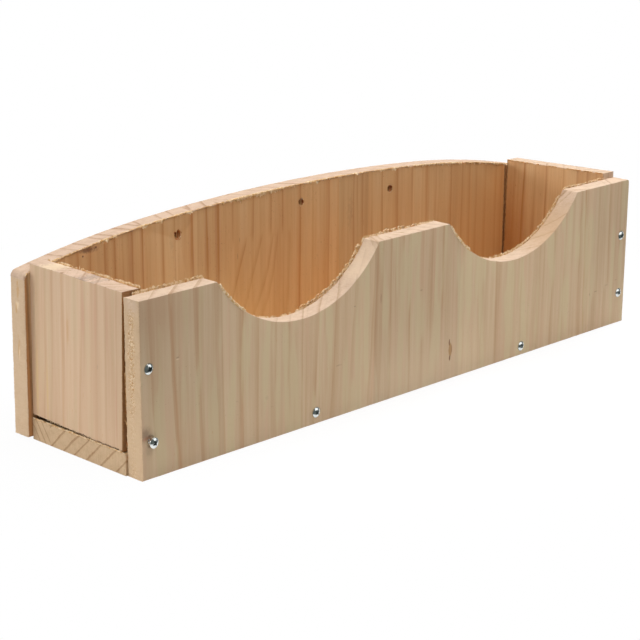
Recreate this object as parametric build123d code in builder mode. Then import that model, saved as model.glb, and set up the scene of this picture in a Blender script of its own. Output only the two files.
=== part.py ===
"""Hay feeder trough: five pine boards held with twelve cross-recess screws.

X runs along the trough, Y from the front board to the back board, and Z up. The origin is
the middle of the underside. Every length is in millimetres and every angle in degrees.
"""

from build123d import *
from math import asin, cos, degrees, radians, sin, tan
import os

# ---------------------------------------------------------------- driving dimensions

board_t = 14.4            # every board is cut from the same planed panel
inner_depth = 94.4        # between the front and back boards

front_length = 500.0
front_height = 115.2
front_corner_r = 2.5      # worn top corner at the right end

scoop_width = 148.0       # mouth of each scoop, along the top edge
scoop_depth = 39.2
scoop_spacing = 221.0     # middle to middle
scoop_shift = -1.5        # the pair sits slightly left of the middle
scoop_corner_r = 3.0      # blunted shoulders

back_overhang = 5.2       # past each end of the front board
back_lift = 2.0           # the back board's lower edge stays off the ground
back_corner_r = 5.0
back_left_slant = 1.5     # its left end leans in towards the top
crown_height = 133.6      # top of the arch
crown_shift = -4.3        # the arch peaks slightly left of the middle
crown_half = 132.0        # half the span of the flat middle arc
crown_r = 1780.0
haunch_r = 870.0          # tighter arcs that carry the arch down to the ends

end_height = 117.3        # top of the end panels, where they weren't sawn higher
bottom_overhang = 1.2     # the bottom board stands out past the front board's ends

# Both panels lean towards the right. The left one was also sawn out of square, and it is
# held against the back board with a gap to the front board.
left_set_in = 0.3         # outer face at its foot, in from the bottom board's end
left_lean = 1.2
left_toe_gap = 3.0        # between its front edge and the front board
left_tip_gap = 1.9
left_heel_lift = 2.7      # its foot rises towards the back
left_rear_rise = 1.1      # and so does its top edge

# The right panel was cut square, but it is set in, turned and leaning outwards.
right_set_in = 2.4        # outer face at its front foot, in from the front board's end
right_yaw = 1.65
right_lean = 1.2
right_rear_gap = 0.3
right_front_rise = 2.1    # its top edge climbs towards the front
right_rear_rise = 0.2

hang_hole_d = 5.0
hang_holes = ((-123.2, 18.0), (-4.0, 13.8), (91.8, 18.7))  # across, and below the crown

screw_head_d = 7.0
screw_rim_t = 0.9
screw_head_t = 2.0
screw_shank_d = 3.5
screw_length = 30.0       # under the head
screw_tip = 3.0
recess_width = 4.2        # across the cross recess
recess_slot = 1.1
recess_depth = 1.3
recess_taper = 12.0
head_sink = 0.8           # how far a head is pulled into the soft wood
screw_clearance = 0.05
loose_stand_off = 3.6     # the lower left screw was never driven home

end_screw_inset = 7.1     # from the front board's ends
end_screw_heights = (71.2, 24.6)
bottom_screws = ((-98.0, 0.7), (120.8, -0.4))  # across, and above the board's middle

# ---------------------------------------------------------------- derived dimensions

half_inner = inner_depth / 2
half_depth = half_inner + board_t
half_front = front_length / 2
half_bottom = half_front + bottom_overhang
half_back = half_front + back_overhang

scoop_r = (scoop_width**2 / 4 + scoop_depth**2) / (2 * scoop_depth)
scoop_middles = [scoop_shift + side * scoop_spacing / 2 for side in (-1, 1)]

# The turned panel's inner front corner touches the front board, which leaves its outer
# one a little behind. Its width is what is left between the two long boards.
yaw_step = board_t * sin(radians(right_yaw))
right_width = (inner_depth - yaw_step - right_rear_gap) / cos(radians(right_yaw))
right_plane = Plane(
    (half_front - right_set_in, yaw_step - half_inner, board_t),
    x_dir=(-sin(radians(right_yaw)), cos(radians(right_yaw)), 0),
    z_dir=(
        cos(radians(right_lean)) * cos(radians(right_yaw)),
        cos(radians(right_lean)) * sin(radians(right_yaw)),
        -sin(radians(right_lean)),
    ),
)


# The left panel leans inwards, so it stands on the inner edge of its foot.
left_foot_height = board_t * (1 + sin(radians(left_lean)))
left_plane = Plane(
    (left_set_in - half_bottom, 0, left_foot_height),
    x_dir=(0, 1, 0),
    z_dir=(cos(radians(left_lean)), 0, -sin(radians(left_lean))),
)


def left_panel_middle(height):
    """Where the middle of the left panel's edges lies, across, at a height."""
    at_foot = left_set_in - half_bottom + board_t / 2
    return at_foot + (height - board_t) * tan(radians(left_lean))


def right_panel_middle(height):
    """Where the middle of the right panel's rear edge lies, across, at a height."""
    at_foot = half_front - right_set_in - right_width * sin(radians(right_yaw)) - board_t / 2
    return at_foot + (height - board_t) * tan(radians(right_lean))


# ---------------------------------------------------------------- where the screws go

# The faces that the screws are driven in from, looking outwards.
front_face = Plane((0, -half_depth, 0), x_dir=(1, 0, 0), z_dir=(0, -1, 0))
rear_face = Plane((0, half_depth, 0), x_dir=(-1, 0, 0), z_dir=(0, 1, 0))

pilot_r = screw_shank_d / 2 + screw_clearance
seat_r = screw_head_d / 2 + screw_clearance
pilot_depth = head_sink + screw_length + screw_clearance

# On the front face, places are across and height. On the rear face its own x runs the
# other way, so the signs change.
front_left = [(end_screw_inset - half_front, height) for height in end_screw_heights]
front_right = [(half_front - end_screw_inset, height) for height in end_screw_heights]
front_bottom = [(across, board_t / 2 + rise) for across, rise in bottom_screws]
rear_left = [(-left_panel_middle(height), height) for height in end_screw_heights]
rear_right = [(-right_panel_middle(height), height) for height in end_screw_heights]
rear_bottom = [(-across, height) for across, height in front_bottom]


def drill(face, places):
    """Holes that the screws' shanks fill, straight in from the face they are driven from."""
    with Locations(face):
        with Locations(*places):
            Hole(pilot_r, depth=pilot_depth)


def drill_and_seat(face, places):
    """The same holes with the shallow seat that each head has pressed into the wood."""
    with Locations(face):
        with Locations(*places):
            CounterBoreHole(pilot_r, seat_r, head_sink, depth=pilot_depth)


def save(piece, name):
    piece.part.label = name
    export_step(piece.part, f"parts/{name}.step")


os.makedirs("parts", exist_ok=True)

# ---------------------------------------------------------------- front board

with BuildPart() as front_board:
    with BuildSketch(Plane.XZ.offset(half_inner)):
        with Locations((0, front_height / 2)):
            Rectangle(front_length, front_height)
        with Locations(*[(middle, front_height + scoop_r - scoop_depth) for middle in scoop_middles]):
            Circle(scoop_r, mode=Mode.SUBTRACT)
        shoulders = vertices().group_by(Axis.Y)[-1].sort_by(Axis.X)[1:-1]
        fillet(shoulders, radius=scoop_corner_r)
        fillet(vertices().group_by(Axis.Y)[-1].sort_by(Axis.X)[-1], radius=front_corner_r)
    extrude(amount=board_t)
    drill_and_seat(front_face, front_left + front_right + front_bottom)
save(front_board, "front_board")

# ---------------------------------------------------------------- back board

crown_lean = degrees(asin(crown_half / crown_r))


def haunch_sweep(reach):
    """Angle of a haunch arc that starts at the crown's end and reaches this much further."""
    return degrees(asin(crown_half / crown_r + reach / haunch_r)) - crown_lean


with BuildPart() as back_board:
    with BuildSketch(Plane.XZ.offset(-half_inner)):
        with BuildLine():
            crown = CenterArc(
                (crown_shift, crown_height - crown_r), crown_r, 90 + crown_lean, -2 * crown_lean
            )
            left_sweep = haunch_sweep(half_back - back_left_slant + crown_shift - crown_half)
            right_sweep = haunch_sweep(half_back - crown_shift - crown_half)
            left_haunch = JernArc(crown @ 0, -(crown % 0), haunch_r, left_sweep)
            right_haunch = JernArc(crown @ 1, crown % 1, haunch_r, -right_sweep)
            Polyline(
                right_haunch @ 1, (half_back, back_lift), (-half_back, back_lift), left_haunch @ 1
            )
        make_face()
        top_ends = vertices().sort_by(Axis.Y)[2:4]  # next above the two at the foot
        fillet(top_ends, radius=back_corner_r)
        with Locations(*[(across, crown_height - drop) for across, drop in hang_holes]):
            Circle(hang_hole_d / 2, mode=Mode.SUBTRACT)
    extrude(amount=-board_t)
    drill_and_seat(rear_face, rear_left + rear_right + rear_bottom)
save(back_board, "back_board")

# ---------------------------------------------------------------- bottom board

with BuildPart() as bottom_board:
    with BuildSketch(Plane.XY):
        Rectangle(2 * half_bottom, inner_depth)
    extrude(amount=board_t)
    drill(front_face, front_bottom)
    drill(rear_face, rear_bottom)
save(bottom_board, "bottom_board")

# ---------------------------------------------------------------- end panels

with BuildPart() as left_end_panel:
    with BuildSketch(left_plane):
        with BuildLine():
            Polyline(
                (left_toe_gap - half_inner, 0),
                (half_inner, left_heel_lift),
                (half_inner, end_height - board_t + left_rear_rise),
                (left_tip_gap - half_inner, end_height - board_t),
                close=True,
            )
        make_face()
    extrude(amount=board_t)
    drill(front_face, front_left)
    drill(rear_face, rear_left)
save(left_end_panel, "left_end_panel")

with BuildPart() as right_end_panel:
    with BuildSketch(right_plane):
        with BuildLine():
            Polyline(
                (0, 0),
                (right_width, 0),
                (right_width, end_height - board_t + right_rear_rise),
                (0, end_height - board_t + right_front_rise),
                close=True,
            )
        make_face()
    extrude(amount=-board_t)
    drill(front_face, front_right)
    drill(rear_face, rear_right)
save(right_end_panel, "right_end_panel")

# ---------------------------------------------------------------- screws

# One screw, upright, with the underside of its head at the origin.
dome_rise = screw_head_t - screw_rim_t
dome_r = (screw_head_d**2 / 4 + dome_rise**2) / (2 * dome_rise)
with BuildPart() as screw:
    with BuildSketch(Plane.XZ):
        with BuildLine():
            profile = Polyline(
                (0, -screw_length),
                (screw_shank_d / 2, screw_tip - screw_length),
                (screw_shank_d / 2, 0),
                (screw_head_d / 2, 0),
                (screw_head_d / 2, screw_rim_t),
            )
            dome = RadiusArc(profile @ 1, (0, screw_head_t), -dome_r)
            Line(dome @ 1, profile @ 0)
        make_face()
    revolve(axis=Axis.Z)
    with BuildSketch(Plane.XY.offset(screw_head_t)):
        Rectangle(recess_width, recess_slot)
        Rectangle(recess_slot, recess_width)
    extrude(amount=-recess_depth, taper=recess_taper, mode=Mode.SUBTRACT)


def driven(places, stand_off=0):
    """Screws at these places, with their heads pulled in as far as they usually are."""
    return [(across, height, stand_off - head_sink) for across, height in places]


upper_left, lower_left = front_left
screw_groups = {
    "front_end_screws": (
        front_face, driven([upper_left] + front_right) + driven([lower_left], loose_stand_off)
    ),
    "front_bottom_screws": (front_face, driven(front_bottom)),
    "rear_end_screws": (rear_face, driven(rear_left + rear_right)),
    "rear_bottom_screws": (rear_face, driven(rear_bottom)),
}
for name, (face, places) in screw_groups.items():
    with BuildPart(face) as group:
        with Locations(*places):
            add(screw.part)
    save(group, name)
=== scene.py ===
"""Looks of the hay feeder trough: planed pine boards, torn saw cuts and zinc-plated screws.

Lengths are in millimetres, in the part's own frame, and become metres where a mesh is made.
Each board has its own axes: across the grain, along the grain, and depth into the wood from
the face that shows most.
"""

import random
from math import asin, atan2, cos, hypot, pi, radians, sin, sqrt, tan

import bmesh
import bpy
from mathutils import Matrix, Vector, noise
from mathutils.geometry import delaunay_2d_cdt


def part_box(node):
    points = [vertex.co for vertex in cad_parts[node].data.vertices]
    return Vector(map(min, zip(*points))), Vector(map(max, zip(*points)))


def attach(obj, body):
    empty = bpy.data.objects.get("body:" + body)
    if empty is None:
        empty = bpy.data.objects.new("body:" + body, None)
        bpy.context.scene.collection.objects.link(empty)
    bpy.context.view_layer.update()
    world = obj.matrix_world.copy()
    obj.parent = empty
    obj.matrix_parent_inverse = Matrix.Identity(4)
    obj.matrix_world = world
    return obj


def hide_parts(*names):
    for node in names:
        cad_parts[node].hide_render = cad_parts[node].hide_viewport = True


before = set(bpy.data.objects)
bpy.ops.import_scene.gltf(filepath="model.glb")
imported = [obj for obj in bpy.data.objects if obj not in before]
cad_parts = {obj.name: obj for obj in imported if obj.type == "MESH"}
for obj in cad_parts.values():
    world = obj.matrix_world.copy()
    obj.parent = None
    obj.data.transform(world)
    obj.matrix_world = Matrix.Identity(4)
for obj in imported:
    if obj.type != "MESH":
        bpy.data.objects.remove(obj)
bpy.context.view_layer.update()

MM = 0.001


def millimetres(node):
    """Lowest and highest corners of a node."""
    low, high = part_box(node)
    return Vector(low) / MM, Vector(high) / MM


# ---------------------------------------------------------------- sizes from the frame

front_low, front_high = millimetres("front_board")
back_low, back_high = millimetres("back_board")
bottom_low, bottom_high = millimetres("bottom_board")

BOARD_T = front_high.y - front_low.y
HALF_FRONT = front_high.x
FRONT_HEIGHT = front_high.z
HALF_INNER = -front_high.y
HALF_DEPTH = -front_low.y
HALF_BACK = back_high.x
BACK_LIFT = back_low.z
CROWN_HEIGHT = back_high.z
HALF_BOTTOM = bottom_high.x

# ---------------------------------------------------------------- sizes that the boxes don't give

SCOOP_WIDTH = 148.0
SCOOP_DEPTH = 39.2
SCOOP_MIDDLES = (-112.0, 109.0)
SCOOP_CORNER = 1.2
FRONT_CORNER = 2.5

CROWN_SHIFT = -4.3
CROWN_HALF = 132.0
CROWN_R = 1780.0
HAUNCH_R = 870.0
BACK_CORNER = 5.0
BACK_SLANT = 1.5

HANG_HOLES = ((-123.2, 115.6), (-4.0, 119.8), (91.8, 114.9))
HANG_HOLE_R = 2.5

END_HEIGHT = 117.3
LEFT_SET_IN = 0.3
LEFT_LEAN = radians(1.2)
LEFT_TOE_GAP = 3.0
LEFT_TIP_GAP = 1.9
LEFT_HEEL_LIFT = 2.7
LEFT_REAR_RISE = 1.1

RIGHT_SET_IN = 2.4
RIGHT_YAW = radians(1.65)
RIGHT_LEAN = radians(1.2)
RIGHT_REAR_GAP = 0.3
RIGHT_FRONT_RISE = 2.1
RIGHT_REAR_RISE = 0.2

HEAD_R = 3.5
HEAD_RIM = 0.9
HEAD_T = 2.0
HEAD_SINK = 0.8
SHANK_R = 1.75
SCREW_LENGTH = 30.0
END_SCREW_X = HALF_FRONT - 7.1
END_SCREW_HEIGHTS = (71.2, 24.6)
BOTTOM_SCREWS = ((-98.0, 7.9), (120.8, 6.8))
LOOSE_STAND_OFF = 2.8

EDGE_ROUND = 0.3
FINE = 0.5
COARSE = 2.5

# ---------------------------------------------------------------- mesh helpers


class Shape:
    """Corners and faces gathered in millimetres, with a finish number on each face."""

    def __init__(self):
        self.corners = []
        self.faces = []
        self.finishes = []

    def corner(self, place):
        self.corners.append(Vector(place) * MM)
        return len(self.corners) - 1

    def face(self, corners, finish):
        self.faces.append(tuple(corners))
        self.finishes.append(finish)

    def strip(self, lower, upper, finish, closed=True):
        """Quads between two rows of corners, with one finish or a list of one for each."""
        count = len(lower)
        for i in range(count if closed else count - 1):
            j = (i + 1) % count
            kind = finish[i] if isinstance(finish, list) else finish
            self.face((lower[i], lower[j], upper[j], upper[i]), kind)

    def build(self, name, materials, sharp=40):
        mesh = bpy.data.meshes.new(name)
        mesh.from_pydata(self.corners, [], self.faces)
        for material in materials:
            mesh.materials.append(material)
        mesh.polygons.foreach_set("material_index", self.finishes)
        shell = bmesh.new()
        shell.from_mesh(mesh)
        bmesh.ops.recalc_face_normals(shell, faces=shell.faces)
        shell.to_mesh(mesh)
        shell.free()
        mesh.shade_smooth()
        mesh.set_sharp_from_angle(angle=radians(sharp))
        piece = bpy.data.objects.new(name, mesh)
        bpy.context.scene.collection.objects.link(piece)
        return piece


class Board:
    """Where a board lies: an origin on its visible face, and its three directions."""

    def __init__(self, origin, across, along, depth):
        self.origin = Vector(origin)
        self.across = Vector(across)
        self.along = Vector(along)
        self.depth = Vector(depth)

    def at(self, a, g, b):
        return self.origin + self.across * a + self.along * g + self.depth * b


FACE, INNER, SAWN, TORN, ROUGH, ROOT_SHADE, BORE = range(7)


class Edge:
    """A board's outline: each point with how deeply the saw tore the far and near edges."""

    def __init__(self):
        self.points = []
        self.saw()

    def add(self, a, g):
        self.points.append((a, g, self.far, self.near, self.wander, self.finish))

    def line(self, start, end, step):
        """Points from the start up to the end, without the end."""
        count = max(1, round(hypot(end[0] - start[0], end[1] - start[1]) / step))
        for i in range(count):
            share = i / count
            self.add(start[0] + (end[0] - start[0]) * share, start[1] + (end[1] - start[1]) * share)

    def arc(self, centre, radius, begin, finish, step):
        """Points along an arc between two angles, without the last."""
        count = max(2, round(abs(finish - begin) * radius / step))
        for i in range(count):
            angle = begin + (finish - begin) * i / count
            self.add(centre[0] + radius * cos(angle), centre[1] + radius * sin(angle))

    def saw(self, far=0.0, near=0.0, wander=0.0, finish=SAWN):
        """Sets how the stretches that follow were cut."""
        self.far = far
        self.near = near
        self.wander = wander
        self.finish = finish


def normals_of(points):
    """Outward normals of a loop that runs anticlockwise."""
    count = len(points)
    found = []
    for i in range(count):
        before = points[i - 1]
        after = points[(i + 1) % count]
        along = Vector((after[0] - before[0], after[1] - before[1]))
        if along.length < 1e-6:
            along = Vector((1, 0))
        along.normalize()
        found.append(Vector((along.y, -along.x)))
    return found


def jag(place, seed, grain=1.3):
    """0 to 1, in uneven steps, as torn fibres end."""
    coarse = noise.noise(Vector((place * 0.22 * grain, seed, 0.3)))
    fine = noise.noise(Vector((place * 0.9 * grain, seed, 7.7)))
    tooth = noise.noise(Vector((place * 2.3 * grain, seed, 3.1)))
    return min(1.0, max(0.0, 0.42 + 0.55 * coarse + 0.5 * fine + 0.45 * tooth))


def wall_depths(thickness, step=1.1):
    """Depths of a wall's rows, closer together at its two edges."""
    close = (0.0, EDGE_ROUND * 0.3, EDGE_ROUND, 0.75, 1.5)
    middle = []
    count = max(1, round((thickness - 2 * close[-1]) / step))
    for i in range(1, count):
        middle.append(close[-1] + (thickness - 2 * close[-1]) * i / count)
    return list(close) + middle + [thickness - d for d in reversed(close)]


TEAR_REACH = 1.6      # how far into the cut face torn edges reach
DEEP_TEAR = 1.8       # a near edge torn deeper than this shows fibres instead of a saw cut


def edge_inset(depth, thickness, far, near, i_jag):
    """How far a wall's point lies inside its outline, from edge rounding and tearing."""
    inset = 0.0
    for reach, tear in ((depth, near), (thickness - depth, far)):
        if reach < EDGE_ROUND:
            inset += EDGE_ROUND - sqrt(EDGE_ROUND**2 - (EDGE_ROUND - reach) ** 2)
        if tear and reach < TEAR_REACH:
            inset += tear * i_jag * (1 - reach / TEAR_REACH) ** 1.6
    return inset


def panel(shape, board, outline, thickness, holes=(), seed=0.0):
    """A board: two flat faces joined by walls, with drilled holes and seats for screw heads."""
    points = outline.points
    normals = normals_of(points)
    depths = wall_depths(thickness)
    run = 0.0
    runs = []
    for i, point in enumerate(points):
        runs.append(run)
        after = points[(i + 1) % len(points)]
        run += hypot(after[0] - point[0], after[1] - point[1])
    rows = []
    flat_rows = []
    for depth in depths:
        row = []
        flat = []
        for (a, g, far, near, wander, finish), normal, place in zip(points, normals, runs):
            torn = jag(place, seed)
            inset = edge_inset(depth, thickness, far, near, torn)
            if wander:
                slow = noise.noise(Vector((place * 0.09, seed, depth * 0.02)))
                quick = noise.noise(Vector((place * 0.8, seed + 4.0, depth * 0.35)))
                inset += wander * (0.5 + slow) + (0.28 if finish == ROUGH else 0.12) * (0.5 + quick)
            inset = max(0.0, inset)
            spot = (a - normal.x * inset, g - normal.y * inset)
            flat.append(spot)
            row.append(shape.corner(board.at(spot[0], spot[1], depth)))
        rows.append(row)
        flat_rows.append(flat)
    wall = [point[5] for point in points]
    torn_wall = [TORN if point[3] > DEEP_TEAR else point[5] for point in points]
    for lower, upper, depth in zip(rows, rows[1:], depths):
        shape.strip(lower, upper, torn_wall if depth < TEAR_REACH - 0.2 else wall)
    near_loops = [(flat_rows[0], rows[0])]
    far_loops = [(flat_rows[-1], rows[-1])]
    near_dents = []
    far_dents = []
    for hole in holes:
        hole.cut(shape, board, thickness, near_loops, far_loops)
        near_dents += hole.near_rings
        far_dents += hole.far_rings
    cap(shape, board, near_loops, near_dents, 0.0, FACE)
    cap(shape, board, far_loops, far_dents, thickness, INNER)


def cap(shape, board, loops, rings, depth, finish):
    """A flat face inside its loops. Rings are closed runs of (a, g, depth) that dent it."""
    flat = []
    known = []
    edges = []
    for spots, corners in loops:
        first = len(flat)
        flat += [Vector(spot) for spot in spots]
        known += corners
        edges += [(first + i, first + (i + 1) % len(spots)) for i in range(len(spots))]
    for ring in rings:
        first = len(flat)
        flat += [Vector((a, g)) for a, g, _ in ring]
        known += [shape.corner(board.at(a, g, b)) for a, g, b in ring]
        edges += [(first + i, first + (i + 1) % len(ring)) for i in range(len(ring))]
    spots, _, faces, sources, _, _ = delaunay_2d_cdt(flat, edges, [], 1, 1e-4)
    corners = []
    for spot, source in zip(spots, sources):
        corners.append(known[source[0]] if source else shape.corner(board.at(spot.x, spot.y, depth)))
    for face in faces:
        middle = sum((spots[i] for i in face), Vector((0, 0))) / len(face)
        if not any(surrounds(spots_of_hole, middle) for spots_of_hole, _ in loops[1:]):
            shape.face([corners[i] for i in face], finish)


def surrounds(loop, spot):
    """Whether a spot lies inside a closed loop of places."""
    inside = False
    before = loop[-1]
    for after in loop:
        if (after[1] > spot.y) != (before[1] > spot.y):
            reach = (spot.y - after[1]) / (before[1] - after[1])
            if spot.x < after[0] + reach * (before[0] - after[0]):
                inside = not inside
        before = after
    return inside


class Hole:
    """A round hole right through a board, with a ragged mouth or a seat for a screw head."""

    def __init__(self, a, g, radius, ragged=0.0, seat=None, sides=20, seed=0.0):
        self.a = a
        self.g = g
        self.radius = radius
        self.ragged = ragged
        self.seat = seat            # "near", "far" or None
        self.sides = sides
        self.seed = seed
        self.near_rings = []
        self.far_rings = []

    def ring(self, radius, rough=0.0):
        spots = []
        for i in range(self.sides):
            angle = 2 * pi * i / self.sides
            wobble = noise.noise(Vector((cos(angle) * 1.7, sin(angle) * 1.7, self.seed)))
            fine = noise.noise(Vector((cos(angle) * 5.1, sin(angle) * 5.1, self.seed + 3.0)))
            r = radius + rough * (0.35 + 0.9 * wobble + 0.7 * fine)
            spots.append((self.a + r * cos(angle), self.g + r * sin(angle)))
        return spots

    def cut(self, shape, board, thickness, near_loops, far_loops):
        depths = [0.0, 0.35, 1.0, 3.0, thickness - 3.0, thickness - 1.0, thickness - 0.35, thickness]
        if self.seat == "near":
            depths = [HEAD_SINK] + depths[3:]
        if self.seat == "far":
            depths = depths[:-3] + [thickness - HEAD_SINK]
        rows = []
        flats = []
        for depth in depths:
            reach = min(depth, thickness - depth)
            rough = self.ragged * max(0.0, 1 - reach)
            flat = self.ring(self.radius, rough)
            flats.append(flat)
            rows.append([shape.corner(board.at(a, g, depth)) for a, g in flat])
        for lower, upper in zip(rows, rows[1:]):
            shape.strip(lower, upper, BORE)
        near_loops.append((flats[0], rows[0]))
        far_loops.append((flats[-1], rows[-1]))
        if self.seat:
            level = (lambda b: b) if self.seat == "near" else (lambda b: thickness - b)
            rings = []
            for radius, sunk, rough in SEAT_RINGS:
                spots = self.ring(radius, rough)
                rings.append([(a, g, level(sunk)) for a, g in spots])
            if self.seat == "near":
                self.near_rings = rings
            else:
                self.far_rings = rings


# Radius, how far below the face, and raggedness: the wood that a head has pressed in.
SEAT_RINGS = (
    (HEAD_R + 0.1, HEAD_SINK, 0.0),
    (HEAD_R + 0.16, 0.28, 0.06),
    (HEAD_R + 0.45, 0.1, 0.15),
    (HEAD_R + 1.1, 0.0, 0.4),
)

# ---------------------------------------------------------------- torn fibres


def sliver(shape, path, side, width, thickness, finish, blunt=0.15, under=None):
    """A closed splinter along a path, widest at its root and drawn in to its tip.

    The under side may have a finish of its own.
    """
    under = finish if under is None else under
    rows = []
    last = len(path) - 1
    for i, place in enumerate(path):
        share = i / last
        narrow = (1 - share) ** 0.6 * (1 - blunt) + blunt
        ahead = (path[min(i + 1, last)] - path[max(i - 1, 0)]).normalized()
        up = ahead.cross(side)
        if up.length < 1e-4:
            up = Vector((0, 0, 1))
        up.normalize()
        out = up.cross(ahead).normalized()
        w = out * width * narrow / 2
        h = up * thickness * narrow / 2
        rows.append([shape.corner(place + c) for c in (w, h, -w, -h)])
    for lower, upper in zip(rows, rows[1:]):
        shape.strip(lower, upper, [finish, finish, under, under])
    shape.face(rows[0][::-1], finish)
    shape.face(rows[-1], finish)


def flakes(shape, board, run, depth, out, density, crest, draw, ceiling=1e9, away=(0.2, 0.9),
           root=None, droop=False):
    """Torn fibres that stand along one edge of a cut in short ragged clumps.

    The run is (a, g, normal) of neighbouring points. out is 1 where the clumps hang on the
    far face and -1 where they hang on the near one. Their roots are darker than their tips:
    painted shade under the clumps.
    """
    root = ROOT_SHADE if root is None else root
    first = 0
    while first < len(run) - 3:
        if draw.random() > density:
            first += draw.randint(1, 6)
            continue
        count = min(draw.choice((3, 4, 4, 5, 6, 8, 11)), len(run) - 1 - first)
        height = crest * draw.uniform(0.35, 1.0)
        lean = draw.uniform(*away)
        skew = draw.uniform(-0.15, 0.15)
        thick = draw.uniform(0.2, 0.5)
        seed = draw.uniform(0, 90)
        rows = []
        for j in range(count + 1):
            a, g, normal = run[first + j]
            if j and hypot(a - run[first + j - 1][0], g - run[first + j - 1][1]) > 3:
                break
            swell = max(0.0, sin(pi * min(1.0, max(0.0, j / count + skew)))) ** 0.5
            tip = max(0.06, height * swell * (0.45 + 0.75 * jag(j * FINE, seed)))
            apart = lean * (0.3 + 0.7 * swell) * draw.uniform(0.7, 1.3)
            spots = ((-0.7, 0.03), (0.3 * tip, apart * 0.7), (tip, apart), (0.5 * tip, apart + thick))
            row = []
            for rise, b in spots:
                rise = min(0.1, -rise) if droop else rise
                place = board.at(a + normal.x * rise, g + normal.y * rise, depth + out * b)
                place.z = min(place.z, ceiling)
                row.append(shape.corner(place))
            rows.append(row)
        for lower, upper in zip(rows, rows[1:]):
            shape.strip(lower, upper, [root, TORN, TORN, root])
        if len(rows) > 1:
            shape.face(rows[0][::-1], root)
            shape.face(rows[-1], root)
        first += draw.randint(1, max(2, count - 1))


def splinter_path(root, heading, bend, length, segments=4):
    """Points from a root, along a heading that turns steadily towards the bend."""
    path = [root]
    heading = heading.normalized()
    for _ in range(segments):
        path.append(path[-1] + heading * (length / segments))
        heading = (heading + bend / segments).normalized()
    return path


def fringe(shape, board, run, depth, out, density, length, draw, ceiling=1e9, lift=0.75):
    """Splinters along a run of (a, g, normal) on one edge of a cut.

    out is 1 where the torn side is the far face and -1 where it is the near one. Fibres run
    along the grain, so each starts near that direction and then bends away from the board.
    """
    for (a, g, normal) in run:
        if draw.random() > density:
            continue
        reach = length * (0.35 + 1.1 * draw.random() ** 2.2)
        sideways = board.across * normal.x + board.along * normal.y
        upright = board.along * (1 if normal.y >= 0 else -1)
        heading = upright * (0.6 + 0.5 * draw.random()) + sideways * lift
        heading += board.depth * out * draw.uniform(0.1, 0.9)
        heading += board.across * draw.uniform(-0.35, 0.35)
        bend = board.depth * out * draw.uniform(-0.5, 1.4) + board.across * draw.uniform(-0.9, 0.9)
        root = board.at(a, g, depth - out * draw.uniform(0.1, 0.6))
        path = splinter_path(root, heading, bend, reach)
        if max(p.z for p in path) > ceiling:
            continue
        width = draw.uniform(0.25, 0.8)
        sliver(shape, path, board.across, width, draw.uniform(0.12, 0.25), TORN)


def loops(shape, board, run, depth, out, density, size, draw):
    """Thin shavings that stand on the edge of a cut and curl along it, pale outside and darker inside with
    painted shade.
    """
    for (a, g, normal) in run:
        if draw.random() > density:
            continue
        up = board.across * normal.x + board.along * normal.y
        side = draw.choice((-1, 1))
        ahead = (board.across * -normal.y + board.along * normal.x) * side
        radius = size * draw.uniform(0.45, 1.0)
        centre = board.at(a, g, depth + out * draw.uniform(0.2, 0.9)) + up * radius * draw.uniform(-0.1, 0.7)
        begin = draw.uniform(-0.9, 0.5)
        turn = draw.uniform(2.6, 5.0)
        drift = board.depth * draw.uniform(-0.5, 0.5)
        path = []
        for i in range(10):
            share = i / 9
            angle = begin + turn * share
            r = radius * (1 - 0.4 * share)
            path.append(centre + (ahead * cos(angle) + up * sin(angle)) * r + drift * share)
        outer, inner = (TORN, ROOT_SHADE) if side > 0 else (ROOT_SHADE, TORN)
        width = draw.uniform(0.6, 1.4)
        sliver(shape, path, board.depth, width, draw.uniform(0.4, 0.65), outer, 0.6, inner)


def wisps(shape, board, run, depth, count, length, lift, draw):
    """Long thin strips peeled from the far edge of a cut, which lie along it and bow away."""
    for _ in range(count):
        steps = round(draw.uniform(*length) / FINE)
        first = draw.randrange(len(run) - steps)
        peeled = run[first:first + steps + 1:max(1, steps // 10)]
        stand = lift * draw.uniform(0.2, 1.0)
        apart = draw.uniform(0.1, 0.8)
        phase = draw.uniform(0, 6)
        path = []
        for i, (a, g, normal) in enumerate(peeled):
            share = i / (len(peeled) - 1)
            rise = stand * sin(pi * share) + 0.25 * sin(9 * share + phase)
            b = depth + 0.1 + apart * sin(pi * share)
            path.append(board.at(a + normal.x * rise, g + normal.y * rise, b))
        width = draw.uniform(0.4, 1.1)
        sliver(shape, path, board.depth, width, draw.uniform(0.2, 0.4), TORN, blunt=0.4)


def stretch(outline, test):
    """The (a, g, normal) of an outline's points that pass a test."""
    normals = normals_of(outline.points)
    found = []
    for point, normal in zip(outline.points, normals):
        if test(point[0], point[1], normal):
            found.append((point[0], point[1], normal))
    return found


# ---------------------------------------------------------------- node helpers


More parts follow.
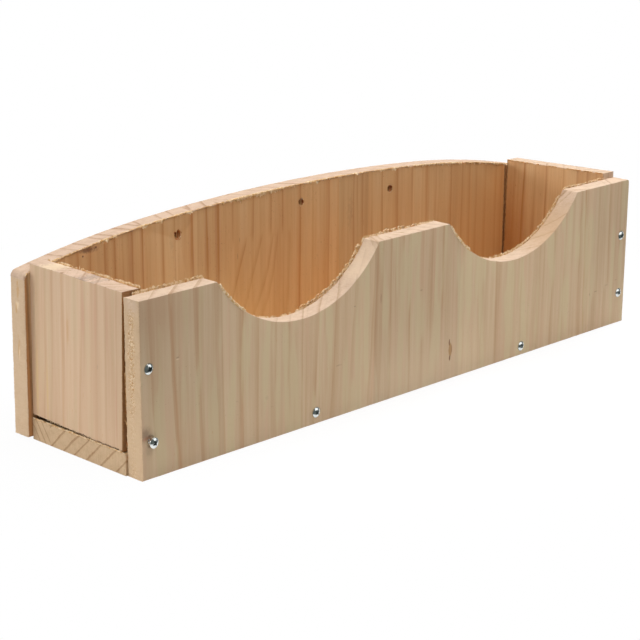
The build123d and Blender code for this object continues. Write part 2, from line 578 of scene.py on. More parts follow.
class Tree:
    """Short calls that add shader nodes and join them."""

    def __init__(self, tree):
        self.tree = tree

    def add(self, kind, inputs=None, **settings):
        node = self.tree.nodes.new("ShaderNode" + kind)
        for name, value in settings.items():
            setattr(node, name, value)
        for socket, value in (inputs or {}).items():
            self.feed(node.inputs[socket], value)
        return node

    def feed(self, socket, value):
        if isinstance(value, bpy.types.NodeSocket):
            self.tree.links.new(value, socket)
        else:
            socket.default_value = value

    def math(self, operation, *values, clamp=False):
        node = self.add("Math", dict(enumerate(values)), operation=operation, use_clamp=clamp)
        return node.outputs[0]

    def vector(self, operation, *values):
        node = self.add("VectorMath", dict(enumerate(values)), operation=operation)
        return node.outputs["Value" if operation in ("DOT_PRODUCT", "LENGTH") else "Vector"]

    def plus(self, first, *others):
        for other in others:
            first = self.math("ADD", first, other)
        return first

    def times(self, first, *others):
        for other in others:
            first = self.math("MULTIPLY", first, other)
        return first

    def span(self, value, low, high, to_low=0.0, to_high=1.0, smooth=False):
        inputs = {"Value": value, "From Min": low, "From Max": high, "To Min": to_low, "To Max": to_high}
        kind = "SMOOTHSTEP" if smooth else "LINEAR"
        return self.add("MapRange", inputs, interpolation_type=kind).outputs["Result"]

    def mix(self, share, low, high, blend="MIX"):
        node = self.add("Mix", data_type="RGBA", blend_type=blend)
        self.feed(node.inputs[0], share)
        self.feed(node.inputs[6], low)
        self.feed(node.inputs[7], high)
        return node.outputs[2]

    def noise(self, place, scale, detail=2.0, rough=0.5, seed=0.0):
        """Noise from 0 to 1. The scale is cycles per millimetre along each direction."""
        stretched = self.vector("MULTIPLY", place, scale)
        moved = self.vector("ADD", stretched, (seed, seed * 1.7, seed * 0.6))
        inputs = {"Vector": moved, "Scale": 1.0, "Detail": detail, "Roughness": rough}
        return self.add("TexNoise", inputs).outputs[0]

    def curve(self, value, points):
        """A curve through points with straight runs between them, both within 0 to 1."""
        node = self.add("FloatCurve", {"Value": value})
        line = node.mapping.curves[0]
        line.points[0].location = points[0]
        line.points[1].location = points[-1]
        for point in points[1:-1]:
            line.points.new(*point)
        for point in line.points:
            point.handle_type = "VECTOR"
        node.mapping.extend = "HORIZONTAL"
        node.mapping.update()
        return node.outputs[0]


def srgb(red, green, blue):
    """A colour as it shows on screen, turned into linear light."""
    def channel(value):
        value /= 255
        return value / 12.92 if value <= 0.04045 else ((value + 0.055) / 1.055) ** 2.4
    return (channel(red), channel(green), channel(blue), 1.0)


# ---------------------------------------------------------------- how each board grew

# Rings are (edge, fade, strength). The edge is sharp, and the ring fades out over the fade,
# to the right where it is positive and to the left where it is negative.
# Strips are (left side, slope, tone): the glued strips, how far the rings shift across for
# each millimetre of depth, and how much paler or darker the strip is.
# Leans are (place, how far the rings there stray to the right on their way down).


class Growth:
    def __init__(self, span, top, rings, strips, leans, seed, patches=(), soft=0.4):
        self.span = span
        self.top = top
        self.rings = rings
        self.strips = strips
        self.leans = leans
        self.seed = seed
        self.patches = patches
        self.soft = soft              # half the width over which a ring's sharp side comes up


FRONT_GROWTH = Growth(
    span=(-256.0, 256.0),
    top=115.0,
    rings=(
        (-243, 5, 0.42), (-227, 10, 0.5), (-225.5, 2, 0.2), (-207, 6.5, 0.45), (-203.5, -2, 0.15),
        (-189, 1.6, 0.3), (-182.5, -6, 0.45), (-164, -9, 0.5), (-150.5, -5, 0.42), (-134.5, -5, 0.34),
        (-122.5, -4, 0.32), (-111, -3, 0.5), (-107.5, 2.5, 0.22), (-94, -6, 0.45), (-88, -4, 0.2),
        (-79, 6, 0.42), (-71, 3, 0.15), (-60.5, 7, 0.4), (-53, 2, 0.12),
        (-42.5, 5, 0.42), (-40, 12, 0.3), (-33, -3, 0.25), (-25, -4, 0.5), (-21.5, 1.2, 0.32),
        (-12, -6, 0.4), (-5, -3, 0.5), (2, -3, 0.25), (8, -4, 0.42), (18, -5, 0.35), (19, 1.2, 0.3),
        (29.5, -2.5, 0.55), (39.5, 1.4, 0.4), (45, -3.5, 0.42), (55, 1.5, 0.18), (60, 1.5, 0.2),
        (69.5, 6, 0.45), (78, 1.5, 0.12), (87, 8, 0.42), (106, 5, 0.38), (118, 1.6, 0.45),
        (127, 3.5, 0.3), (139, 3, 0.42), (144.5, 2.5, 0.3), (156, 5, 0.45), (170, 2.2, 0.55),
        (187.5, 3.5, 0.42), (193, 4.5, 0.6), (198.5, -3, 0.3), (210.5, 2, 0.25), (219, 2.2, 0.3),
        (225, 4, 0.5), (240, 2.5, 0.25), (246, 1.4, 0.4),
        (307.5, 5, 0.42), (322, 5, 0.45), (334, 3, 0.3), (343, 2, 0.25),
    ),
    strips=(
        (-256, -1.2, -0.07), (-227, -1.3, -0.06), (-182.5, -1.1, 0.0), (-111, -1.25, 0.02),
        (-57, -2.0, 0.04), (-42.5, -0.5, -0.04), (-24, 0.4, -0.03), (47, 0.9, 0.04), (119, 1.04, 0.04),
        (203, -0.8, -0.01),
    ),
    leans=(
        (-256, 5.5), (-207, 6.5), (-189, 3.6), (-165, -1), (-111, -0.6), (-100, -7), (-94, -9),
        (-79, -6), (-60, -10), (-42, -4.5), (-22, 0), (19, 0), (40, 1.5), (69, 2.5), (106, 1.6),
        (130, -1), (170, -1.8), (187, 0), (193, 4), (203, 4), (225, 3.5), (256, 3),
    ),
    seed=11.0,
    patches=((203.0, 256.0, 29.5, 0.16, 100.0, 0.0, 0.0),),
    soft=0.4,
)

LEFT_GROWTH = Growth(
    span=(-50.0, 50.0),
    top=104.0,
    rings=(
        (41, -3, 0.2), (32, -3, 0.42), (25, -2.5, 0.4), (15.3, -4.5, 0.55), (10, -1.5, 0.22),
        (2, -3, 0.2), (-4.5, -4, 0.45), (-9, 2, 0.2), (-16, 3, 0.2), (-21, 3.5, 0.4), (-28, -2, 0.42),
        (-38.5, -2, 0.4), (-36, -0.8, 0.2),
    ),
    strips=((-50, 0.8, 0.0), (-20, -0.9, 0.03), (15.3, 1.0, -0.02), (41, 0.9, 0.0)),
    leans=((-50, 0), (-28, 0.5), (-16, 1), (-5, 4), (4, 3), (15, 0), (25, 2.5), (33, 3.5), (50, 1)),
    seed=23.0,
    soft=0.9,
)

BACK_GROWTH = Growth(
    span=(-256.0, 256.0),
    top=133.0,
    rings=(
        (-237, -5, 0.4), (-221, -5, 0.45), (-209, -4, 0.4), (-199, -4, 0.5), (-188, 4.5, 0.5),
        (-178, -3.5, 0.55), (-163, -6, 0.6), (-154, -3.5, 0.62), (-135.5, -4, 0.45), (-125, -3, 0.5),
        (-109, -4.5, 0.6), (-95.5, -4, 0.55), (-84.5, -4.5, 0.62), (-71, -2.5, 0.45), (-51, -3, 0.5),
        (-34, -5, 0.45), (-22.5, -3, 0.5), (-4, -6.5, 0.55), (8.5, -1.5, 0.3), (26, -6, 0.5),
        (35.5, -4, 0.4), (46, -2, 0.25), (52.5, -3, 0.55), (56.5, -2, 0.3), (62, -3, 0.3),
        (72.5, -3, 0.4), (84, -3.5, 0.5), (101, -6, 0.42), (118, -3.5, 0.5), (135, -3, 0.42),
        (146, -3.5, 0.45), (149.5, -2, 0.4), (165, -3.5, 0.5), (177, 3, 0.4), (188, -5, 0.5),
        (196, -3, 0.42), (207.5, -5, 0.42), (220.5, -4, 0.55), (228, -6, 0.55), (241, -4, 0.5),
        (342, -4, 0.5), (357, -4, 0.4), (368, -3, 0.42), (373, -3, 0.35), (385, -3, 0.3),
        (396, -6.5, 0.6),
    ),
    strips=(
        (-256, 0.25, 0.0), (-188, 0.3, -0.02), (-154, -0.3, 0.0), (-109, -0.5, -0.03),
        (-84.5, 0.9, 0.02), (-8, 1.1, 0.06), (35.5, 1.0, -0.07), (68, 1.1, 0.03), (84, 0.9, 0.04),
        (135, 1.0, 0.0), (190, 1.0, -0.04),
    ),
    leans=((-256, 1), (-154, 0.5), (-100, 0), (-71, -2.5), (-51, -4), (-22, 3), (-4, -1), (35, 0),
           (84, 2), (101, 2), (165, 0), (256, 1)),
    seed=37.0,
    patches=((-84.5, -12.0, 100.0, 0.02, 400.0, 0.34, 0.03),),
)

RIGHT_GROWTH = Growth(
    span=(-10.0, 100.0),
    top=105.0,
    rings=(
        (5, 3, 0.3), (15, -4.5, 0.5), (25, -4, 0.42), (38, -4, 0.3), (46, -2, 0.2), (54.5, -4, 0.5),
        (66, -3, 0.25), (76.5, -3, 0.6), (86, -3, 0.3),
    ),
    strips=((-10, 0.8, 0.0), (30, -0.8, 0.02), (60, 1.0, 0.0)),
    leans=((-10, 0), (45, 1), (77, 2), (100, 1)),
    seed=51.0,
)

BOTTOM_GROWTH = Growth(
    span=(-62.0, 62.0),
    top=260.0,
    rings=(
        (-52, -2, 0.75), (-37, -2.4, 0.9), (-22.5, -2.2, 0.85), (-10.5, -2, 0.8), (0.5, -2.4, 0.95),
        (14, -2.2, 1.0), (28, -2, 0.9), (29, 0.8, 0.6), (37, 2, 0.5), (43, 2, 0.55),
        (49, 2, 0.5), (58, -2, 0.45),
    ),
    strips=((-62, -1.05, 0.0), (28.6, 0.7, -0.02)),
    leans=((-62, 0), (62, 0)),
    seed=67.0,
)

CURVE_REACH = 95.0      # one curve is drawn for each such stretch of rings
LEAN_RANGE = 12.0


def ring_reach(ring, soft):
    """How far a ring goes from its edge, with its sign."""
    fade = ring[1]
    return (1 if fade > 0 else -1) * max(abs(fade), 1.5 * soft)


def ring_depth(ring, place, soft):
    """How dark a ring is at a place."""
    reach = ring_reach(ring, soft)
    inside = (place - ring[0]) * (1 if reach > 0 else -1)
    if inside <= -soft or inside >= abs(reach):
        return 0.0
    if inside < soft:
        return ring[2] * (inside + soft) / (2 * soft)
    return ring[2] * (abs(reach) - inside) / (abs(reach) - soft)


def ring_ends(ring, soft):
    reach = ring_reach(ring, soft)
    return (ring[0] - soft, ring[0] + reach) if reach > 0 else (ring[0] + reach, ring[0] + soft)


def ring_curves(tree, across, rings, soft):
    """The darkness of all the rings across a board, drawn by a few curves."""
    groups = []
    for ring in sorted(rings, key=lambda ring: ring_ends(ring, soft)):
        low, high = ring_ends(ring, soft)
        if not groups or high - groups[-1][0] > CURVE_REACH:
            groups.append([low, high, []])
        groups[-1][1] = max(groups[-1][1], high)
        groups[-1][2].append(ring)
    total = 0.0
    for low, high, members in groups:
        stops = {low - 1, high + 1}
        for ring in members:
            stops |= {ring[0] - soft, ring[0] + soft, ring[0] + ring_reach(ring, soft)}
        reach = high - low + 2
        points = []
        for stop in sorted(stops):
            depth = sum(ring_depth(ring, stop, soft) for ring in members)
            points.append(((stop - low + 1) / reach, min(1.0, depth)))
        share = tree.span(across, low - 1, high + 1)
        total = tree.plus(total, tree.curve(share, points))
    return total


def stepped(tree, value, span, stops, low, high):
    """A value that steps at each stop and holds until the next."""
    ramp = tree.add("ValToRGB", {0: tree.span(value, *span)})
    band = ramp.color_ramp
    band.interpolation = "CONSTANT"
    while len(band.elements) < len(stops):
        band.elements.new(1.0)
    for element, (place, level) in zip(band.elements, stops):
        element.position = (place - span[0]) / (span[1] - span[0])
    for element, (place, level) in zip(band.elements, stops):
        grey = (level - low) / (high - low)
        element.color = (grey, grey, grey, 1.0)
    return tree.span(ramp.outputs[0], 0.0, 1.0, low, high)


def grain_group(name, board, growth):
    """A node group with a board's rings, tone and place, read from the part's own axes."""
    group = bpy.data.node_groups.new(name, "ShaderNodeTree")
    for label, kind in (("Place", "Vector"), ("Rings", "Float"), ("Tone", "Float")):
        group.interface.new_socket(label, in_out="OUTPUT", socket_type="NodeSocket" + kind)
    tree = Tree(group)
    world = tree.add("TexCoord").outputs["Object"]
    local = tree.vector("SUBTRACT", world, tuple(board.origin * MM))
    sides = []
    for direction in (board.across, board.depth, board.along):
        sides.append(tree.vector("DOT_PRODUCT", local, tuple(direction / MM)))
    across, depth, along = sides
    place = tree.add("CombineXYZ", dict(enumerate(sides))).outputs[0]
    slope = stepped(tree, across, growth.span, [(left, k) for left, k, _ in growth.strips], -2.5, 2.5)
    tone = stepped(tree, across, growth.span, [(left, t) for left, _, t in growth.strips], -0.5, 0.5)
    low, high = growth.span
    lean_points = []
    for spot, lean in growth.leans:
        lean_points.append(((spot - low) / (high - low), 0.5 + lean / (2 * LEAN_RANGE)))
    lean = tree.curve(tree.span(across, low, high), lean_points)
    lean = tree.span(lean, 0.0, 1.0, -LEAN_RANGE, LEAN_RANGE)
    fall = tree.math("SUBTRACT", 1.0, tree.math("DIVIDE", along, growth.top), clamp=True)
    stray = tree.times(lean, tree.math("POWER", fall, 1.5))
    slow = tree.span(tree.noise(place, (0.02, 0.05, 0.009), 2, 0.5, growth.seed), 0, 1, -1.6, 1.6)
    quick = tree.span(tree.noise(place, (0.25, 0.25, 0.03), 3, 0.55, growth.seed + 5), 0, 1, -0.7, 0.7)
    unwound = tree.plus(across, tree.times(slope, depth), slow, quick)
    spot = tree.math("SUBTRACT", unwound, stray)
    patched = []
    for left, right, height, rise, shift, near, far in growth.patches:
        below = tree.plus(height - rise * left, tree.times(across, rise))
        drop = tree.math("SUBTRACT", below, along)
        swing = tree.span(across, left + 34, right - 4, near, far)
        moved = tree.plus(unwound, tree.times(drop, swing), shift)
        inside = tree.times(
            tree.span(drop, -5.0, 5.0, smooth=True),
            tree.span(across, left - 1, left + 1),
            tree.span(across, right + 1, right - 1),
        )
        patch_rings = ring_curves(tree, moved, [r for r in growth.rings if r[0] > high], growth.soft)
        patched.append((inside, patch_rings))
    rings = ring_curves(tree, spot, [r for r in growth.rings if r[0] <= high], growth.soft)
    for inside, patch_rings in patched:
        kept = tree.times(rings, tree.math("SUBTRACT", 1.0, inside))
        rings = tree.plus(kept, tree.times(inside, patch_rings))
    out = group.nodes.new("NodeGroupOutput")
    tree.feed(out.inputs["Place"], place)
    tree.feed(out.inputs["Rings"], rings)
    tree.feed(out.inputs["Tone"], tone)
    return group


# ---------------------------------------------------------------- wood colours

# Each palette is early wood, late wood and the strongest rings.
PALE = (srgb(207, 182, 149), srgb(188, 152, 117), srgb(192, 138, 90))
WARM = (srgb(216, 186, 154), srgb(200, 161, 127), srgb(200, 150, 104))
STRAW = (srgb(230, 202, 156), srgb(208, 168, 116), srgb(198, 148, 92))
# The next two palettes, on the inner faces of the back board and the right panel, are darker and more orange
# than those boards' other faces: partly the wood's own tone, partly painted shade and warm bounced light
# inside the trough.
SHADED_HONEY = (srgb(219, 179, 130), srgb(195, 139, 87), srgb(176, 100, 54))
SHADED_DEEP = (srgb(221, 181, 132), srgb(190, 134, 84), srgb(164, 96, 50))
CUT = (srgb(218, 192, 167), srgb(160, 118, 80))
END = (srgb(209, 181, 146), srgb(150, 108, 70))
PINK = srgb(207, 172, 142)
OLIVE = srgb(204, 186, 148)
CREAM = srgb(242, 220, 184)
GOLD = srgb(214, 174, 120)
BROWN = srgb(178, 126, 74)
BRUISE = srgb(116, 78, 60)


def new_material(name):
    material = bpy.data.materials.new(name)
    material.use_nodes = True
    material.node_tree.nodes.clear()
    return material, Tree(material.node_tree)


def finish_material(tree, colour, roughness, heights, gloss=0.3):
    """A principled shader with bumps: heights are (value, distance in mm, strength)."""
    shader = tree.add("BsdfPrincipled", {"Base Color": colour, "Roughness": roughness})
    shader.inputs["Specular IOR Level"].default_value = gloss
    normal = None
    for value, distance, strength in heights:
        bump = tree.add("Bump", {"Height": value, "Distance": distance * MM, "Strength": strength})
        if normal:
            tree.feed(bump.inputs["Normal"], normal)
        normal = bump.outputs[0]
    if normal:
        tree.feed(shader.inputs["Normal"], normal)
    out = tree.add("OutputMaterial")
    tree.tree.links.new(shader.outputs[0], out.inputs["Surface"])


class Mark:
    """A small stain or bruise, or a patch of painted shade or light, on a board's visible face: its middle,
    half sizes and colour.
    """

    def __init__(self, a, g, wide, high, colour, strength, ragged=0.4, soft=0.5):
        self.a = a
        self.g = g
        self.wide = wide
        self.high = high
        self.colour = colour
        self.strength = strength
        self.ragged = ragged
        self.soft = soft


def marked(tree, place, colour, marks, seed, end=False):
    """Lays each mark over a colour. On a board's sawn end, marks are placed by depth."""
    if not marks:
        return colour
    rough = tree.span(tree.noise(place, (0.6, 0.6, 0.35), 3, 0.6, seed), 0, 1, -1, 1)
    for mark in marks:
        middle = (0, mark.a, mark.g) if end else (mark.a, 0, mark.g)
        scale = (0, 1 / mark.wide, 1 / mark.high) if end else (1 / mark.wide, 0, 1 / mark.high)
        shifted = tree.vector("SUBTRACT", place, middle)
        shrunk = tree.vector("MULTIPLY", shifted, scale)
        far = tree.plus(tree.vector("LENGTH", shrunk), tree.times(rough, mark.ragged))
        share = tree.span(far, 1.0, 1.0 - mark.soft, 0.0, mark.strength, smooth=True)
        colour = tree.mix(share, colour, mark.colour)
    return colour


def wood(name, grain, seed, palette, streak=1.0, marks=(), hue=1.0, dust=0.2):
    """A planed face: growth rings, broad soft bands, fibre streaks, hue shifts and pores."""
    early, late, rust = palette
    material, tree = new_material(name)
    source = tree.add("Group")
    source.node_tree = grain
    place = source.outputs["Place"]
    rings = source.outputs["Rings"]
    broad = tree.noise(place, (0.11, 0.11, 0.006), 2, 0.5, seed + 27)
    stripe = tree.noise(place, (0.36, 0.36, 0.007), 2, 0.55, seed)
    fibre = tree.noise(place, (1.1, 1.1, 0.02), 3, 0.6, seed + 3)
    hair = tree.noise(place, (3.6, 3.6, 0.09), 2, 0.6, seed + 9)
    shade = tree.plus(
        tree.times(rings, 1.05),
        tree.span(broad, 0.35, 0.65, -0.14, 0.14, smooth=True),
        tree.span(stripe, 0.3, 0.7, -0.15 * streak, 0.15 * streak),
        tree.span(fibre, 0.2, 0.8, -0.17 * streak, 0.17 * streak),
        tree.span(hair, 0.2, 0.8, -0.1, 0.1),
    )
    shade = tree.math("ADD", shade, 0.25, clamp=True)
    colour = tree.mix(shade, early, late)
    colour = tree.mix(tree.span(rings, 0.35, 0.9, 0.0, 0.7), colour, rust)
    pinkness = tree.noise(place, (0.14, 0.14, 0.011), 2, 0.5, seed + 13)
    colour = tree.mix(tree.span(pinkness, 0.5, 0.66, 0.0, 0.4 * hue, smooth=True), colour, PINK)
    olives = tree.noise(place, (0.12, 0.12, 0.013), 2, 0.5, seed + 17)
    colour = tree.mix(tree.span(olives, 0.5, 0.64, 0.0, 0.6 * hue, smooth=True), colour, OLIVE)
    pores = tree.noise(place, (1.5, 1.5, 0.22), 1, 0.5, seed + 21)
    colour = tree.mix(tree.span(pores, 0.73, 0.8, 0.0, 0.55), colour, rust)
    dusty = tree.noise(place, (0.035, 0.035, 0.03), 2, 0.5, seed + 41)
    specks = tree.noise(place, (1.2, 1.2, 0.8), 1, 0.4, seed + 43)
    dirt = tree.times(tree.span(specks, 0.7, 0.76), tree.span(dusty, 0.5, 0.6), dust)
    colour = tree.mix(dirt, colour, BRUISE)
    colour = marked(tree, place, colour, marks, seed + 31)
    tone = tree.plus(source.outputs["Tone"], 1.0)
    grey = tree.add("CombineXYZ", {0: tone, 1: tone, 2: tone}).outputs[0]
    colour = tree.vector("MULTIPLY", colour, grey)
    rough = tree.span(fibre, 0.2, 0.8, 0.58, 0.72)
    finish_material(tree, colour, rough, ((hair, 0.1, 0.25),))
    return material


def cut_wood(name, grain, seed, palette, torn_and_shaded_rims=(0.0, 0.0), marks=(), stipple=0.0, scars=1.0,
             ringed=1.0, tints=()):
    """A sawn face: the same rings in paler wood, with scratches and brown rims along the torn edges that are
    part torn wood and part painted shade.

    The rims are how strong they are at the near and far edges, and the stipple is how much
    golden fuzz a blunt saw has raised along the middle, in specks that are partly the fuzz's own
    colour and partly painted highlights and shade on its relief.
    """
    early, late = palette
    material, tree = new_material(name)
    source = tree.add("Group")
    source.node_tree = grain
    place = source.outputs["Place"]
    rings = source.outputs["Rings"]
    depth = tree.add("SeparateXYZ", {0: place}).outputs[1]
    fuzz = tree.noise(place, (1.3, 1.3, 1.3), 4, 0.65, seed)
    blotch = tree.noise(place, (0.12, 0.2, 0.12), 3, 0.6, seed + 5)
    scratch = tree.noise(place, (1.6, 0.12, 1.6), 2, 0.6, seed + 7)
    shade = tree.plus(
        tree.math("MINIMUM", tree.times(tree.math("POWER", rings, 1.8), 2.2 * ringed), 0.5),
        tree.span(fuzz, 0.3, 0.7, -0.12, 0.14),
        tree.span(blotch, 0.3, 0.7, -0.12, 0.16),
        tree.span(scratch, 0.3, 0.7, -0.1, 0.1),
    )
    colour = tree.mix(tree.math("ADD", shade, 0.06, clamp=True), early, late)
    if stipple:
        middle = tree.math("ABSOLUTE", tree.plus(depth, -BOARD_T / 2 - 1))
        band = tree.span(tree.plus(middle, tree.span(blotch, 0, 1, -4, 4)), 4.0, 0.5, smooth=True)
        # Golden, brown and cream specks: partly the fuzz's own colour, partly painted highlights and shade
        # on its relief.
        for scale, shift, tint in ((0.9, 11, GOLD_SPECK), (1.6, 47, BROWN), (1.2, 51, CREAM)):
            speck = tree.noise(place, (scale, scale, scale * 0.8), 2, 0.55, seed + shift)
            specks = tree.times(tree.span(speck, 0.5, 0.62, smooth=True), band, stipple)
            colour = tree.mix(specks, colour, tint)
    ragged = tree.span(tree.noise(place, (0.45, 0.2, 0.45), 3, 0.6, seed + 15), 0.35, 0.6, 0.25, 1.0)
    # Brown rims at the torn edges: part torn wood, part painted shade under the torn fibres.
    for share, begin, end in ((torn_and_shaded_rims[0], 1.3, 0.3), (torn_and_shaded_rims[1], BOARD_T - 1.5, BOARD_T - 0.4)):
        if share:
            rim = tree.times(tree.span(depth, begin, end, smooth=True), ragged, share)
            colour = tree.mix(rim, colour, BROWN)
    colour = marked(tree, place, colour, marks, seed + 31, end=True)
    colour = marked(tree, place, colour, tints, seed + 51)
    tone = tree.plus(tree.times(source.outputs["Tone"], 0.2), 1.0)
    grey = tree.add("CombineXYZ", {0: tone, 1: tone, 2: tone}).outputs[0]
    colour = tree.vector("MULTIPLY", colour, grey)
    heights = ((scratch, 0.25 * scars, 0.4), (fuzz, 0.3 * scars, 0.5))
    finish_material(tree, colour, 0.78, heights, gloss=0.2)
    return material


GOLD_SPECK = srgb(204, 156, 102)


def millimetre_place(tree):
    """The place in the part's frame, in millimetres."""
    world = tree.add("TexCoord").outputs["Object"]
    return tree.vector("MULTIPLY", world, (1 / MM, 1 / MM, 1 / MM))


def torn_wood(name, pale, dark):
    """Splinters: from one colour to the other from clump to clump, with fine fibres."""
    material, tree = new_material(name)
    place = millimetre_place(tree)
    pick = tree.noise(place, (0.45, 0.45, 0.35), 2, 0.6, 3.0)
    hair = tree.noise(place, (4.0, 4.0, 0.9), 2, 0.6, 9.0)
    colour = tree.mix(tree.span(pick, 0.4, 0.62), pale, dark)
    colour = tree.mix(tree.span(hair, 0.45, 0.8, 0.0, 0.35), colour, BROWN)
    finish_material(tree, colour, 0.8, ((hair, 0.15, 0.5),), gloss=0.2)
    return material


# ---------------------------------------------------------------- boards

front = Board((0, -HALF_DEPTH, 0), (1, 0, 0), (0, 0, 1), (0, 1, 0))
back = Board((0, HALF_INNER, 0), (1, 0, 0), (0, 0, 1), (0, 1, 0))
bottom = Board((0, 0, BOARD_T), (0, 1, 0), (1, 0, 0), (0, 0, -1))
left_in = Vector((cos(LEFT_LEAN), 0, -sin(LEFT_LEAN)))
left_foot = Vector((LEFT_SET_IN - HALF_BOTTOM, 0, BOARD_T * (1 + sin(LEFT_LEAN))))
left = Board(left_foot, (0, 1, 0), (sin(LEFT_LEAN), 0, cos(LEFT_LEAN)), left_in)

yaw_step = BOARD_T * sin(RIGHT_YAW)
right_out = Vector((cos(RIGHT_LEAN) * cos(RIGHT_YAW), cos(RIGHT_LEAN) * sin(RIGHT_YAW), -sin(RIGHT_LEAN)))
right_across = Vector((-sin(RIGHT_YAW), cos(RIGHT_YAW), 0))
right_foot = Vector((HALF_FRONT - RIGHT_SET_IN, yaw_step - HALF_INNER, BOARD_T))
right = Board(
    right_foot - right_out * BOARD_T, right_across, right_out.cross(right_across), right_out
)

# Smudges of dirt, and also the painted shadow of the loose screw's head.
SMUDGE_AND_SHADOW = srgb(120, 96, 78)
# Resin in the wood, and also the painted shade in the right panel's rear corner.
RESIN_AND_CORNER_SHADE = srgb(120, 76, 44)
AMBER = srgb(176, 132, 84)
PINKISH = srgb(206, 163, 134)
YELLOWISH = srgb(212, 182, 134)
GOLDEN = srgb(214, 170, 104)
SHADED = srgb(80, 54, 34)
# Painted shade on the strip of the back board left of the left panel.
SLOT_SHADE = srgb(176, 118, 68)

FRONT_MARKS = (
    # Paler low in the middle of the front face: painted light bounced up from the paper.
    Mark(10.0, -10.0, 120.0, 75.0, srgb(224, 200, 168), 0.5, 0.1, 1.0),
    # Darker at the top left of the front face: painted shade.
    Mark(-240.0, 108.0, 60.0, 36.0, srgb(188, 150, 118), 0.42, 0.1, 1.0),
    # Painted shadow of the loose screw's head, just above it.
    Mark(-247.0, 30.0, 7.0, 7.0, SMUDGE_AND_SHADOW, 0.55, 0.35, 0.9),
    Mark(-245.5, 27.0, 5.0, 2.2, srgb(190, 110, 80), 0.4, 0.3, 0.8),
    Mark(38.7, 22.0, 2.1, 6.0, AMBER, 0.85, 0.25, 0.3),
    Mark(37.6, 27.6, 0.9, 2.8, RESIN_AND_CORNER_SHADE, 0.8, 0.5, 0.5),
    Mark(38.2, 15.8, 1.1, 2.8, RESIN_AND_CORNER_SHADE, 0.85, 0.5, 0.5),
    Mark(40.4, 22.5, 0.35, 4.0, RESIN_AND_CORNER_SHADE, 0.6, 0.4, 0.6),
    Mark(-219.5, 73.5, 2.2, 0.7, SMUDGE_AND_SHADOW, 0.4, 0.6, 0.8),
    Mark(-219.5, 72.3, 2.0, 0.5, CREAM, 0.5, 0.4, 0.8),
    Mark(-77.0, 36.2, 4.5, 0.8, SMUDGE_AND_SHADOW, 0.3, 0.8, 0.9),
    Mark(-61.5, 74.3, 1.3, 0.6, SMUDGE_AND_SHADOW, 0.5, 0.5, 0.8),
    Mark(-35.5, 75.0, 0.8, 5.0, RESIN_AND_CORNER_SHADE, 0.4, 0.8, 0.9),
    Mark(-144.0, 29.0, 2.2, 2.2, SMUDGE_AND_SHADOW, 0.12, 0.5, 0.9),
    Mark(6.0, 72.5, 2.0, 0.8, SMUDGE_AND_SHADOW, 0.3, 0.8, 0.9),
    Mark(204.5, 30.5, 0.5, 1.6, SMUDGE_AND_SHADOW, 0.5, 0.6, 0.8),
    Mark(212.5, 31.5, 2.4, 0.6, SMUDGE_AND_SHADOW, 0.4, 0.8, 0.8),
    Mark(226.0, 34.0, 3.0, 0.5, SMUDGE_AND_SHADOW, 0.3, 0.8, 0.8),
    Mark(238.5, 36.0, 2.0, 0.6, SMUDGE_AND_SHADOW, 0.3, 0.8, 0.8),
)

BACK_MARKS = (
    Mark(-201.0, 118.5, 9.0, 2.6, BRUISE, 0.8, 0.8, 0.8),
    Mark(-205.5, 115.0, 0.9, 0.9, BRUISE, 0.9, 0.4, 0.5),
    Mark(-194.5, 119.3, 0.9, 0.9, BRUISE, 0.95, 0.4, 0.5),
    Mark(-67.5, 90.0, 0.6, 3.6, BRUISE, 0.3, 0.8, 0.8),
    Mark(-65.5, 102.0, 0.5, 3.0, BRUISE, 0.3, 0.8, 0.8),
    Mark(48.0, 103.0, 4.0, 16.0, BRUISE, 0.12, 1.4, 0.9),
    Mark(-129.0, 112.0, 2.0, 12.0, BRUISE, 0.12, 1.4, 0.9),
    # Darker and more orange towards the right inner corner: painted shade.
    Mark(250.0, 60.0, 130.0, 200.0, srgb(208, 152, 92), 0.75, 0.05, 1.0),
    # Paler and yellower low down on the inner face: painted light bounced from the bottom board.
    Mark(-100.0, 25.0, 110.0, 80.0, srgb(232, 196, 140), 0.75, 0.1, 1.0),
    Mark(231.6, 60.0, 1.3, 200.0, SHADED, 0.6, 0.9, 0.6),
    # Painted shade on the narrow strip left of the left panel.
    Mark(-255.0, 60.0, 5.0, 400.0, SLOT_SHADE, 0.75, 0.1, 0.4),
    Mark(-250.9, 60.0, 1.7, 400.0, SHADED, 0.45, 0.1, 0.8),
)

LEFT_MARKS = (
    Mark(-6.5, 81.0, 2.4, 26.0, PINKISH, 0.8, 0.2, 0.9),
    Mark(-19.0, 80.0, 2.2, 30.0, PINKISH, 0.6, 0.2, 0.8),
    Mark(-38.5, 28.0, 1.1, 34.0, PINKISH, 0.8, 0.2, 0.8),
    Mark(-30.0, 78.0, 1.8, 30.0, PINKISH, 0.6, 0.2, 0.9),
    Mark(9.0, 68.0, 1.8, 16.0, WARM[2], 0.5, 0.3, 0.9),
    Mark(13.5, 60.0, 2.2, 50.0, WARM[1], 0.7, 0.2, 0.9),
    Mark(31.0, 20.0, 1.8, 34.0, YELLOWISH, 0.8, 0.2, 0.9),
    Mark(41.5, 26.0, 2.4, 40.0, YELLOWISH, 0.8, 0.2, 0.9),
    Mark(-24.5, 74.0, 2.0, 40.0, WARM[0], 0.7, 0.2, 0.9),
    Mark(-20.5, 50.0, 0.9, 2.2, SMUDGE_AND_SHADOW, 0.15, 0.8, 0.8),
    Mark(-30.0, 0.6, 18.0, 1.3, SHADED, 0.9, 0.8, 0.5),
    Mark(0.0, 1.3, 18.0, 1.2, SHADED, 0.9, 0.8, 0.5),
    Mark(30.0, 2.0, 17.0, 0.9, SHADED, 0.9, 0.8, 0.5),
)

